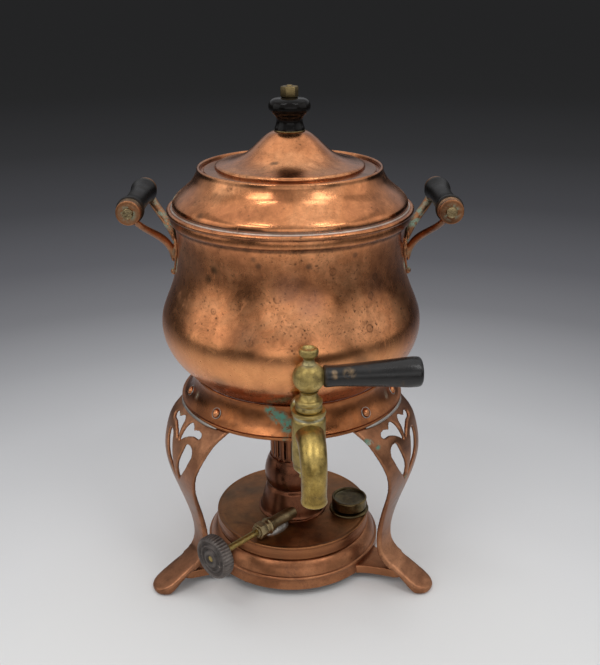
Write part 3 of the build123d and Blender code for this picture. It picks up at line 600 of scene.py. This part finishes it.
lidWasher = {"turns": 72, "profile": [
    (2.25, 328.32), (10.4, 328.32), (10.55, 328.6), (10.4, 329.08), (2.25, 329.08)]}
finishPiece("lidWasher", spun(**lidWasher), fillerBrass, "lid", "lid_washer")

# the nuts carry the stud's two ends
lidNut = {"flats": 10.4, "low": 350.0, "high": 357.2, "turn": 38}
studTop = {"turns": 32, "profile": [(0, 357.0), (2.3, 357.0), (2.3, 357.5), (1.6, 358.0), (0, 358.2)]}
bm = spun(**studTop, bm=hexNut(**lidNut))
finishPiece("lidNut", bm, fillerBrass, "lid", ("lid_nut", "lid_stud"), bevel=0.25, angle=30)
innerNut = {"flats": 8.0, "low": 323.2, "high": 327.15}
studFoot = {"turns": 32, "profile": [(0, 322.4), (2.2, 322.4), (2.2, 323.3), (0, 323.3)]}
bm = spun(**studFoot, bm=hexNut(**innerNut))
finishPiece("lidInnerNut", bm, brassFitting, "lid", "lid_inner_nut", bevel=0.2)
print("lid done")

# the side grips: turned wood on a rod, between two brass ferrules
grip = {
    "x": 105.0, "z": 281.5, "end": [(2.35, 30.0), (8.2, 30.0), (8.9, 29.6)],
    "side": [(9.25, 28.6), (9.25, 26.4), (8.7, 22.5), (7.9, 16.0), (7.45, 8.0), (7.3, 0.0)]}
ferrule = {"turns": 56, "profile": [
    (2.35, 30.05), (7.9, 30.05), (8.55, 30.6), (8.55, 31.2), (7.7, 31.9), (8.3, 32.6), (8.5, 33.3),
    (8.1, 33.9), (2.35, 33.95)]}
gripRod = {"turns": 48, "profile": [
    (0, -39.3), (2.6, -39.2), (3.5, -38.6), (3.7, -37.9), (3.7, -37.05), (2.3, -37.0), (2.3, 37.0),
    (2.3, 39.0), (0, 39.0)]}
rodSlot = {"y": -39.5, "turn": 28, "size": (14.0, 2.4, 1.2)}  # the screwdriver slot in the rod's front end
gripNut = {"turns": 40, "profile": [
    (0, 43.2), (2.2, 42.6), (4.0, 41.3), (5.0, 39.4), (5.3, 38.2), (5.4, 37.1), (0, 37.05)]}
half = grip["end"] + smoothRun(grip["side"], 5)
for sideName, side in (("left", -1), ("right", 1)):
    cap = sideName.capitalize()
    spot = placeAt(side * grip["x"], 0, grip["z"], tilt=alongY)
    bm = spun(half + [(r, -z) for r, z in half[-2::-1]], turns=64)
    finishPiece("grip" + cap, bm, blackGrip, "pot", "grip_" + sideName, spot, angle=50)
    bm = bmesh.new()
    for end in (-1, 1):
        absorb(bm, spun([(r, end * z) for r, z in ferrule["profile"]], ferrule["turns"]))
    finishPiece("gripFerrules" + cap, bm, darkFitting, "pot", "grip_ferrules_" + sideName,
                spot, bevel=0.15, angle=30)
    rod = finishPiece("gripRod" + cap, spun(**gripRod), brassFitting, "pot",
                      "grip_rod_" + sideName, spot, bevel=0.15)
    bm = bmesh.new()
    bmesh.ops.create_cube(bm, size=mm)
    bmesh.ops.scale(bm, vec=rodSlot["size"], verts=bm.verts)
    slotSpot = placeAt(side * grip["x"], rodSlot["y"], grip["z"], tilt=leaning(side * rodSlot["turn"]))
    bmesh.ops.transform(bm, matrix=slotSpot, verts=bm.verts)
    cutter = addObject("slotCut" + cap, meshFrom("slotCut" + cap, bm))
    cut = rod.modifiers.new("slot", "BOOLEAN")
    cut.object = cutter
    cut.solver = "EXACT"
    rod.modifiers.move(1, 0)  # the slot is cut before the edges are bevelled
    slotted = withModifiers(rod)
    rod.modifiers.clear()
    rod.data = slotted
    bpy.data.objects.remove(cutter)
    finishPiece("gripNut" + cap, spun(**gripNut), brassFitting, "pot",
                "grip_nut_" + sideName, spot, bevel=0.2)
print("grips done")


# legs and brackets are copies of the solids, remeshed so that their edges roll over
def rolledCopy(name, nodeName, mat, body, look):
    bm = bmesh.new()
    bm.from_mesh(nodes[nodeName].data)
    bmesh.ops.remove_doubles(bm, verts=bm.verts, dist=2e-6)
    rough = addObject(name + "Rough", meshFrom(name, bm))
    remesh = rough.modifiers.new("remesh", "REMESH")
    remesh.mode = "VOXEL"
    remesh.voxel_size = look["voxel"] * mm
    rolled = withModifiers(rough)
    bpy.data.objects.remove(rough)
    bm = bmesh.new()
    bm.from_mesh(rolled)
    soften(bm, bm.verts, look["passes"])
    if "footR" in look:  # a leg's foot is rounded further
        low = [v for v in bm.verts if v.co.z < look["footZ"] * mm]
        foot = [v for v in low if math.hypot(v.co.x, v.co.y) > look["footR"] * mm]
        soften(bm, foot, look["footPasses"])
    bm.to_mesh(rolled)
    bm.free()
    print(name, len(rolled.polygons), "faces")
    dress(name, rolled, mat, body, nodeName, bevel=0.0, angle=180)


legCopy = {"voxel": 0.65, "passes": 9, "footR": 90, "footZ": 30, "footPasses": 70}
bracketCopy = {"voxel": 0.4, "passes": 4}
for leg in ("left", "right", "back"):
    rolledCopy("leg" + leg.capitalize(), "leg_" + leg, copperLeg, "stand", legCopy)
for sideName in ("left", "right"):
    rolledCopy("bracket" + sideName.capitalize(), "bracket_" + sideName, copperBracket, "pot",
               bracketCopy)

bracketPin = {"turns": 24, "profile": [
    (0, 0), (1.6, 0), (1.6, 4.1), (2.9, 4.25), (2.95, 4.7), (2.5, 5.4), (1.5, 5.9), (0, 6.05)]}
bracketPins = {"r": 77.1, "places": [(-5.4, 242.5), (5.4, 242.5), (0.0, 256.0)]}
for sideName, turn in (("left", 180), ("right", 0)):
    bm = bmesh.new()
    for y, z in bracketPins["places"]:
        absorb(bm, spun(**bracketPin), placeAt(bracketPins["r"], y, z, tilt=alongX))
    finishPiece("bracketPins" + sideName.capitalize(), bm, copperStand, "pot",
                "bracket_rivets_" + sideName, placeAt(turn=turn), bevel=0.1)

# the stand's collar, with its rivets and the solder along the legs' tops
collar = {
    "wall": 1.2, "foot": arc(79.6, 139.2, 1.5, -170, 40, 10),
    "side": [(79.9, 139.3), (78.4, 140.5), (76.2, 142.7), (74.6, 144.9), (73.4, 147.2), (72.4, 149.9),
        (71.7, 152.6), (71.3, 155.4), (71.4, 157.4)],
    "lip": arc(70.5, 158.0, 1.1, 0, 200, 10)}
outside = smoothRun(collar["side"], 4)
inside = insetRun(outside, collar["wall"])[::-1]
bm = spun(collar["foot"] + outside[2:] + collar["lip"] + inside[1:-2], turns=160)
finishPiece("standRing", bm, copperCollar, "stand", "stand_ring", angle=50)

legSolder = {"r": 80.9, "z": 137.9, "reach": 21, "radii": [0.4, 0.9] + [1.25] * 9 + [0.9, 0.4]}
bm = bmesh.new()
for az in legAngles:
    run = arc(0, 0, legSolder["r"], az - legSolder["reach"], az + legSolder["reach"], 12)
    tubeAlong([(x, y, legSolder["z"]) for x, y in run], legSolder["radii"], 12, bm=bm)
finishPiece("legSolder", bm, greySolder, "stand")

legRivets = {"apart": 16.5, "r": 74.2, "z": 145.2, "lean": 58}
legRivet = {"turns": 32, "profile": [
    (0, -5.2), (2.4, -5.2), (2.6, -4.4), (1.7, -4.2), (1.7, 0.3), (3.05, 0.45), (3.1, 1.0), (2.75, 1.75),
    (1.9, 2.4), (0.9, 2.75), (0, 2.85)]}
rivetRim = {"turns": 40, "profile": arc(3.75, 0.45, 0.32, 0, 360, 10)[:-1]}
rivetTurns = [az + side * legRivets["apart"] for az in legAngles for side in (-1, 1)]
rivetSpots = [placeAt(legRivets["r"], 0, legRivets["z"], turn, leaning(legRivets["lean"]))
              for turn in rivetTurns]
for name, shape, mat, slotName, replaced, bevel in (
        ("legRivets", legRivet, rivetCopper, "rivet_copper", "leg_rivets", 0.1),
        ("rivetRims", rivetRim, greySolder, "solder", (), 0.0)):
    bm = bmesh.new()
    for spot in rivetSpots:
        absorb(bm, spun(**shape), spot)
    finishPiece(name, bm, mat, "stand", replaced, bevel=bevel)
print("stand done")

# the tray: a raised pan on three hollow arms
tray = {"turns": 144, "profile": [
    (0, 25.5), (58.2, 25.5), (60.2, 24.2), (62.4, 20.6), (63.8, 15.4), (64.6, 6.2), (65.6, 6.2), (66.3, 7.0),
    (66.3, 8.6), (65.9, 10.6), (65.6, 13.6), *arc(65.1, 15.6, 1.25, -60, 80, 8),
    *smoothRun([(64.7, 17.0), (63.9, 19.6), (62.6, 22.4), (60.9, 24.8), (59.4, 26.3), (58.6, 26.7)], 4),
    (0, 26.7)]}
trayArm = {
    "top": 12.4, "deep": 6.3, "lip": 1.2, "hollow": 5.1, "edge": 1.0,
    "half": [(63.5, 15.6), (66.5, 14.2), (70.0, 12.4), (75.0, 10.6), (81.0, 9.0), (87.0, 7.7), (91.0, 6.8),
        (93.6, 5.4), (95.2, 3.2), (95.9, 0.0)]}
bm = spun(**tray)
for az in legAngles:
    arm = bmesh.new()
    outline = trayArm["half"] + [(x, -y) for x, y in trayArm["half"][-2::-1]]
    face = arm.faces.new([arm.verts.new((x * mm, y * mm, trayArm["top"] * mm)) for x, y in outline])
    down = bmesh.ops.extrude_face_region(arm, geom=[face])["geom"]
    bmesh.ops.translate(arm, vec=(0, 0, -trayArm["deep"] * mm), verts=vertsIn(down))
    bmesh.ops.recalc_face_normals(arm, faces=arm.faces)
    middle = (trayArm["top"] - trayArm["deep"] / 2) * mm
    under = [f for f in arm.faces if f.calc_center_median().z < middle and abs(f.normal.z) > 0.9]
    bmesh.ops.inset_region(arm, faces=under, thickness=trayArm["lip"] * mm)
    roof = list({v for f in under for v in f.verts})
    bmesh.ops.translate(arm, vec=(0, 0, trayArm["hollow"] * mm), verts=roof)
    top = [e for e in arm.edges if min(v.co.z for v in e.verts) > (trayArm["top"] - 0.1) * mm]
    bmesh.ops.bevel(arm, geom=top, offset=trayArm["edge"] * mm, segments=3, profile=0.5, affect="EDGES",
                    material=-1)
    absorb(bm, arm, placeAt(turn=az))
finishPiece("trayPan", bm, copperTray, "stand", "tray", angle=40)

trayRivetR = 91.0
trayRivet = {"turns": 24, "profile": [
    (0, 9.7), (2.0, 9.8), (3.2, 10.4), (3.4, 11.1), (2.0, 11.2), (2.0, 15.0), (0, 15.0)]}
bm = bmesh.new()
for az in legAngles:
    absorb(bm, spun(**trayRivet), placeAt(trayRivetR, turn=az))
finishPiece("trayRivets", bm, copperStand, "stand", "tray_rivets", bevel=0.1)
print("tray done")

# the tap: barrel and shank, then the bent spout
tap = {"az": -84.0, "r": 110.0, "ballZ": 198.0, "shankR": 104.0, "shankZ": 167.0, "pinOut": 22.8}
tapSpot = placeAt(tap["r"], turn=tap["az"])
barrel = {"turns": 72, "profile": [
    (0, 135.05), (7.0, 135.05), (9.0, 135.1), (9.7, 135.6), (10.0, 137.2), (9.8, 139.0), (10.4, 139.8),
    (10.7, 141.2), (10.7, 150.0), (10.6, 160.0), (10.7, 169.0), (10.5, 170.4), (9.7, 171.2), (9.7, 172.4),
    (10.5, 173.2), (10.8, 174.6), (10.3, 175.9), (7.6, 176.0), (0, 176.0)]}
shank = {"turns": 56, "profile": [
    (0, 0), (6.5, 0), (6.5, 8.0), (7.2, 12.2), (8.9, 13.6), (9.4, 15.2), (9.4, 17.0), (8.4, 18.2),
    (7.4, 19.6), (7.6, 24.0), (7.4, 30.6), (0, 30.6)]}
bm = absorb(bmesh.new(), spun(**barrel), tapSpot)
absorb(bm, spun(**shank), placeAt(tap["shankR"], 0, tap["shankZ"], tap["az"], leaning(-90)))
finishPiece("tapBarrel", bm, brassTap, "pot", "tap_body", angle=42)

spout = {
    "wall": 2.3,
    "root": [((104.0, 158.6), 9.4), ((112.0, 160.2), 9.3), ((117.0, 161.2), 9.0), ((121.0, 161.6), 8.8)],
    "bend": arc(123.0, 146.4, 15.0, 90, 0, 14)[1:], "bendR": (8.8, 8.0),
    "nose": [((138.0, 140.0), 7.9), ((138.0, 133.0), 7.8), ((138.0, 130.6), 7.8), ((138.0, 129.8), 8.0),
        ((138.0, 127.6), 8.2), ((138.0, 127.0), 8.0)]}
firstR, lastR = spout["bendR"]
bend = [(p, firstR + (lastR - firstR) * i / len(spout["bend"])) for i, p in enumerate(spout["bend"], 1)]
run = spout["root"] + bend + spout["nose"]
bm = tubeAlong([(x, 0, z) for (x, z), r in run], [r for p, r in run], 56, capped=False)
bent = finishPiece("tapSpout", bm, brassSpout, "pot", place=placeAt(turn=tap["az"]), angle=42)
addWall(bent, spout["wall"])
print("tap body done")

# the tap's key: plug, ball and crown in one, with the lever driven into the ball
key = {"turns": 64, "profile": [
    (0, 129.0), (3.3, 129.0), (3.4, 134.0), (6.1, 134.2), (7.3, 176.2), (8.2, 176.3), (8.5, 177.0),
    (8.5, 178.6), (8.0, 179.2), (8.0, 180.2), (8.6, 180.8), (8.6, 182.4),
    *smoothRun([(8.0, 183.2), (6.6, 184.3), (5.6, 186.2), (5.3, 187.6), (6.0, 188.6)], 4),
    *arc(0, tap["ballZ"], 10.0, -62, 64, 22),
    *smoothRun([(4.4, 207.0), (3.5, 208.6), (3.4, 210.0), (4.6, 211.6), (5.6, 212.8), (5.95, 214.4),
        (5.9, 215.8), (5.3, 216.8), (4.2, 217.0), (3.4, 216.2), (2.2, 215.4)], 4),
    (0, 215.0)]}
finishPiece("tapKey", spun(**key), brassTap, "tap_key", "tap_plug", tapSpot, angle=50)

lever = {"turns": 72, "profile": [
    (0, 8.9), (5.6, 8.9), (6.6, 9.3), (7.0, 10.4),
    *smoothRun([(6.9, 12.0), (6.7, 17.0), (7.0, 24.0), (7.8, 38.0), (8.7, 52.0), (9.4, 61.0), (9.45, 66.0),
        (9.0, 68.6), (7.4, 69.7), (3.0, 69.95)], 5),
    (0, 70.0)]}
leverSpot = placeAt(tap["r"], 0, tap["ballZ"], tap["az"], alongY)
finishPiece("tapLever", spun(**lever), blackLever, "tap_key", "tap_lever", leverSpot, angle=50)

tang = {"turns": 48, "profile": [
    (0, 7.0), (5.6, 7.0), (6.0, 8.0), (5.4, 8.8), (3.0, 8.8), (3.0, 30.0), (0, 30.0)]}
leverPin = {"turns": 24, "profile": [(0, -6.6), (1.4, -6.5), (1.5, -6.2), (1.5, 6.2), (1.4, 6.5), (0, 6.6)]}
bm = absorb(bmesh.new(), spun(**tang), leverSpot)
absorb(bm, spun(**leverPin), placeAt(tap["r"], tap["pinOut"], tap["ballZ"], tap["az"]))
finishPiece("tapTang", bm, brassTap, "tap_key", "tap_tang", angle=42)

tapWasher = {"turns": 56, "profile": [
    (3.45, 133.35), (7.6, 133.35), (8.2, 133.8), (8.2, 134.3), (7.6, 134.68), (3.45, 134.68)]}
finishPiece("tapWasher", spun(**tapWasher), brassTap, "tap_key", "tap_washer", tapSpot,
            bevel=0.1)
tapNut = {"flats": 11.0, "low": 128.35, "high": 133.3, "turn": 12}
finishPiece("tapNut", hexNut(**tapNut), brassTap, "tap_key", "tap_nut", tapSpot, bevel=0.25,
            angle=30)
print("tap key done")

# the burner: a flat tank, a turned column and the flame tube above it
tank = {"turns": 144, "profile": [
    (0, 27.05), (57.4, 27.05), (58.3, 27.4), (58.6, 28.4), (58.4, 29.4), (58.7, 30.2), (58.75, 34.4),
    (58.5, 35.2), *arc(57.9, 36.7, 1.0, -50, 100, 8), (56.9, 37.4), (55.6, 37.6), (54.4, 37.95), (0, 38.0)]}
finishPiece("burnerTank", spun(**tank), copperBurner, "burner", "burner_reservoir", angle=44)

column = {"profile": [
    *smoothRun([(26.4, 38.1), (26.4, 38.7), (25.0, 39.4), (24.2, 41.4), (23.7, 44.4), (22.8, 48.4),
        (21.9, 52.0), (20.9, 55.6), (20.3, 57.6), (19.2, 58.8), (18.6, 60.0), (19.1, 61.0), (20.1, 62.2),
        (20.7, 64.4), (21.1, 67.6), (21.1, 71.4), (20.6, 74.8), (19.6, 78.4), (18.4, 81.4), (17.6, 83.0),
        (17.2, 84.2)], 4),
    (14.7, 84.2), (14.7, 82.0), (16.6, 80.0), (17.2, 62.0), (21.0, 46.0), (23.0, 38.1)]}
finishPiece("burnerColumn", spun(**column), copperColumn, "burner", "burner_column", angle=44)

# the flame tube is fluted between two heights, with a slot in each hollow
tube = {
    "r": 16.2, "wall": 1.3, "low": 72.0,
    "rows": (83.0, 85.5, 87.0, 88.5, 94.0, 99.5, 101.0, 102.5, 104.0), "slots": 18, "sidesPerSlot": 9,
    "slotFrom": 0.42, "slotTo": 0.58, "slotLow": 86.2, "slotHigh": 101.2,
    "fluteLow": 86.0, "fluteHigh": 102.0, "flute": 0.028}
bm = bmesh.new()
bmesh.ops.create_circle(bm, segments=tube["slots"] * tube["sidesPerSlot"], radius=tube["r"] * mm)
bmesh.ops.translate(bm, vec=(0, 0, tube["low"] * mm), verts=bm.verts)
level = bm.edges[:]
for z in tube["rows"]:
    grown = bmesh.ops.extrude_edge_only(bm, edges=level)["geom"]
    fresh = set(vertsIn(grown))
    for v in fresh:
        v.co.z = z * mm
    level = [g for g in grown if isinstance(g, bmesh.types.BMEdge) and all(v in fresh for v in g.verts)]
slotStep = math.tau / tube["slots"]
holes = []
for f in bm.faces:
    c = f.calc_center_median()
    share = (math.atan2(c.y, c.x) % slotStep) / slotStep
    if tube["slotFrom"] < share < tube["slotTo"] and tube["slotLow"] * mm < c.z < tube["slotHigh"] * mm:
        holes.append(f)
fluted = [v for v in bm.verts if tube["fluteLow"] * mm < v.co.z < tube["fluteHigh"] * mm]
ripple(fluted, tube["slots"], tube["flute"])
bmesh.ops.delete(bm, geom=holes, context="FACES")
flame = finishPiece("burnerTube", bm, copperColumn, "burner", "burner_tube", angle=60)
addWall(flame, tube["wall"])

head = {"profile": [
    (4.8, 104.1), (5.2, 105.2), *smoothRun([(5.6, 105.5), (10.0, 105.5), (15.4, 105.4), (16.9, 105.2)], 3),
    *arc(17.0, 104.7, 0.75, 60, -90, 8), (16.3, 103.9), (14.6, 103.8), (14.6, 99.4), (13.1, 99.4),
    (13.1, 104.0)]}
finishPiece("burnerHead", spun(**head), copperBurner, "burner", "burner_head", bevel=0.15,
            angle=40)
jet = {"turns": 20, "profile": [(1.5, 105.0), (1.9, 105.5), (2.3, 105.75), (2.6, 105.5), (2.6, 105.0)]}
jets = {"r": 10.6, "count": 12}
bm = bmesh.new()
for i in range(jets["count"]):
    absorb(bm, spun(**jet), placeAt(jets["r"], turn=i * 360 / jets["count"]))
finishPiece("burnerJets", bm, copperBurner, "burner")
print("burner done")

# the filler and its screw cap
filler = {"x": 44.0, "y": -6.0}
fillerSpot = placeAt(**filler)
fillerCollar = {"turns": 80, "profile": [
    (7.85, 36.1), (7.85, 42.4), (9.0, 42.45), (9.1, 41.5), (11.3, 41.35), (11.45, 40.6), (11.4, 39.6),
    *smoothRun([(11.6, 39.4), (13.4, 39.35), (14.8, 39.0), (15.3, 38.2)], 3), (9.0, 38.05), (9.0, 36.1)]}
finishPiece("fillerCollar", spun(**fillerCollar), fillerBrass, "burner", "filler_collar",
            fillerSpot, bevel=0.12, angle=40)

fillerCap = {"profile": [
    (0, 38.8), (7.4, 38.8), (7.5, 44.9), (11.75, 44.9), (11.75, 40.3), (12.6, 40.15), (13.3, 40.7),
    (13.4, 42.0), (13.3, 46.6), *arc(12.6, 47.7, 0.95, -30, 190, 10), (11.4, 46.6), (10.8, 46.3),
    (7.0, 46.35), (0, 46.4)]}
finishPiece("fillerCap", spun(**fillerCap), fillerBrass, "filler_cap", "filler_cap",
            fillerSpot, bevel=0.12, angle=44)

# the needle valve: tube, gland nut, rod and knob on one level line, set off from the column's axis
valve = {"az": 226.0, "off": 15.0, "z": 44.7}
valveSpot = placeAt(0, valve["off"], valve["z"], valve["az"], alongX)
stem = {"turns": 56, "profile": [
    (0, 15.5), (4.7, 15.5), (4.7, 36.4), (5.1, 37.2), (5.1, 38.2), (5.6, 38.8), (5.6, 40.6),
    *arc(5.6, 42.0, 0.8, -70, 70, 6), (5.6, 43.4), (5.5, 45.2), (4.9, 46.05), (2.5, 46.05), (2.5, 24.0),
    (0, 24.0)]}
finishPiece("valveTube", spun(**stem), brassFitting, "burner", "valve_tube", valveSpot,
            bevel=0.1, angle=36)

glandNut = {"flats": 11.2, "low": 46.1, "high": 52.3}
glandNose = {"turns": 40, "profile": [(0, 52.0), (4.4, 52.0), (4.4, 53.4), (3.9, 53.9), (0, 53.9)]}
bm = absorb(hexNut(**glandNut), spun(**glandNose))
finishPiece("glandNut", bm, brassFitting, "burner", "valve_gland_nut", valveSpot,
            bevel=0.25, angle=30)

valveRod = {"turns": 40, "profile": [
    (0, 25.0), (2.4, 25.0), (2.4, 85.4), (3.2, 85.8), (4.2, 86.4), (4.3, 88.0), (4.3, 88.4), (2.4, 88.5),
    (2.4, 97.2), (2.1, 97.8), (0, 98.0)]}
finishPiece("valveRod", spun(**valveRod), brassTap, "valve", "valve_rod", valveSpot, bevel=0.1,
            angle=36)

valveKnob = {"turns": 160, "profile": [
    (2.45, 88.4), (9.0, 88.3), (13.4, 88.5), (14.6, 89.0), (15.4, 90.0), (15.4, 96.2), (14.7, 97.5),
    (13.9, 98.0), (13.1, 97.7), (12.4, 96.7), (11.3, 96.6), (10.6, 97.3), (9.9, 97.9), (9.0, 97.8),
    (8.3, 96.9), (7.3, 96.9), (6.6, 97.6), (6.0, 98.3), (5.2, 98.6), (3.8, 98.6), (3.2, 98.2),
    (2.45, 98.1)]}
knurl = {"r": 15.0, "low": 89.8, "high": 96.4, "waves": 40, "depth": 0.018}
bm = spun(**valveKnob)
rimVerts = set()
for f in bm.faces:
    c = f.calc_center_median()
    outward = abs(f.normal.z) < 0.2 and math.hypot(c.x, c.y) > knurl["r"] * mm
    if outward and knurl["low"] * mm < c.z < knurl["high"] * mm:
        rimVerts.update(f.verts)
ripple(rimVerts, knurl["waves"], knurl["depth"])
finishPiece("valveKnob", bm, ironKnob, "valve", "valve_knob", valveSpot, bevel=0.12, angle=36)

# the solder that beds the valve tube on the tank, cut off at the tank's top
bed = {"size": (4.6, 6.2, 11.8), "place": (6.2, 0, 33.5), "tankTop": 38.0, "wave": 0.0005}
bm = bmesh.new()
bmesh.ops.create_uvsphere(bm, u_segments=40, v_segments=20, radius=mm)
bmesh.ops.scale(bm, vec=bed["size"], verts=bm.verts)
for v in bm.verts:
    v.co.x += bed["wave"] * math.sin(v.co.z * 900) * math.cos(v.co.y * 700)
bmesh.ops.transform(bm, matrix=valveSpot @ placeAt(*bed["place"]), verts=bm.verts)
bmesh.ops.bisect_plane(bm, geom=bm.verts[:] + bm.edges[:] + bm.faces[:], plane_co=(0, 0, bed["tankTop"] * mm),
                       plane_no=(0, 0, 1), clear_inner=True)
bmesh.ops.holes_fill(bm, edges=[e for e in bm.edges if e.is_boundary])
finishPiece("valveSolder", bm, greySolder, "burner", "valve_solder", angle=60)
print("burner fittings done")

# camera, floor and light, in metres
view = {"lens": 48.15, "sensor": 36.0, "place": (0.0063, -0.6006, 0.4239), "pitch": 68.16, "roll": -0.25}
cam = bpy.data.cameras.new("camera")
cam.lens = view["lens"]
cam.sensor_width = view["sensor"]
cam.clip_start = 0.02
cam.clip_end = 50
eye = addObject("camera", cam)
pitch = Matrix.Rotation(math.radians(view["pitch"]), 4, "X")
roll = Matrix.Rotation(math.radians(view["roll"]), 4, "Z")
eye.matrix_world = Matrix.Translation(view["place"]) @ pitch @ roll
bpy.context.scene.camera = eye

# the floor darkens away from its centre, a painted falloff of the studio light; each tone being a distance, a
# grey and its share of blue
floorLook = {"r": 30.0, "centre": (0, -0.2, 0), "reach": 3.2, "rough": 0.9,
             "tones": ((0.0, 0.84, 0.985), (0.2, 0.78, 0.985), (0.265, 0.74, 0.995), (0.46, 0.545, 1.01),
                       (0.62, 0.345, 1.03), (0.78, 0.207, 1.05), (1.0, 0.13, 1.08), (1.38, 0.077, 1.08),
                       (2.0, 0.05, 1.04), (2.94, 0.039, 1.02), (3.2, 0.037, 1.0))}
bm = bmesh.new()
bmesh.ops.create_circle(bm, cap_ends=True, segments=96, radius=floorLook["r"])
floorMesh = meshFrom("floor", bm)
floorMat, tree, shader = makeMaterial("paleFloor")
where = put(tree, "TexCoord").outputs["Object"]
away = put(tree, "VectorMath", {0: where, 1: floorLook["centre"]}, operation="DISTANCE").outputs[1]
fade = span(tree, away, 0.0, floorLook["reach"], kind="LINEAR")
tone = ramp(tree, fade, *[(d / floorLook["reach"], (g, g, g * k)) for d, g, k in floorLook["tones"]])
tree.links.new(tone, shader.inputs["Base Color"])
shader.inputs["Roughness"].default_value = floorLook["rough"]
shader.inputs["Specular IOR Level"].default_value = 0.0
floorMesh.materials.append(floorMat)
addObject("floor", floorMesh)

skyLook = {"strength": 1.2, "glow": ((0.0, (0.014, 0.0142, 0.0145)), (0.09, (0.03, 0.031, 0.032)),
                                     (0.24, (0.37, 0.375, 0.39)), (1.0, (0.43, 0.435, 0.45)))}
world = bpy.data.worlds.new("studio")
bpy.context.scene.world = world
world.use_nodes = True
sky = world.node_tree
rise = put(sky, "SeparateXYZ", {0: put(sky, "TexCoord").outputs["Generated"]}).outputs[2]
sky.links.new(ramp(sky, rise, *skyLook["glow"]), sky.nodes["Background"].inputs[0])
sky.nodes["Background"].inputs[1].default_value = skyLook["strength"]

lampAim = Vector((0, 0, 0.2))
lamps = {  # place, width, height, power
    "frontBox": ((0.3, -2.4, 0.55), 3.0, 1.0, 9.5),
    "frontLeft": ((-1.25, -1.45, 2.1), 1.1, 0.4, 7),
    "frontRight": ((1.35, -1.3, 2.1), 1.0, 0.4, 6.5),
    "leftBox": ((-2.2, -0.5, 0.8), 1.8, 1.6, 7.4),
    "rightBox": ((2.1, -0.3, 0.9), 1.8, 1.6, 4.5),
    "leftPanel": ((-0.6, -0.75, 1.9), 0.5, 0.1, 2.4),
    "rightPanel": ((0.65, -0.75, 1.9), 0.4, 0.1, 2.0),
    "topBox": ((0.0, 0.2, 1.8), 2.8, 2.0, 9),
}
for name, (place, wide, tall, power) in lamps.items():
    lamp = bpy.data.lights.new(name, "AREA")
    lamp.shape = "RECTANGLE"
    lamp.size = wide
    lamp.size_y = tall
    lamp.energy = power
    lampObj = addObject(name, lamp)
    lampObj.location = place
    lampObj.rotation_euler = (lampAim - Vector(place)).to_track_quat("-Z", "Y").to_euler()
bpy.context.scene.view_settings.view_transform = "Standard"
print("camera, floor and lights done")
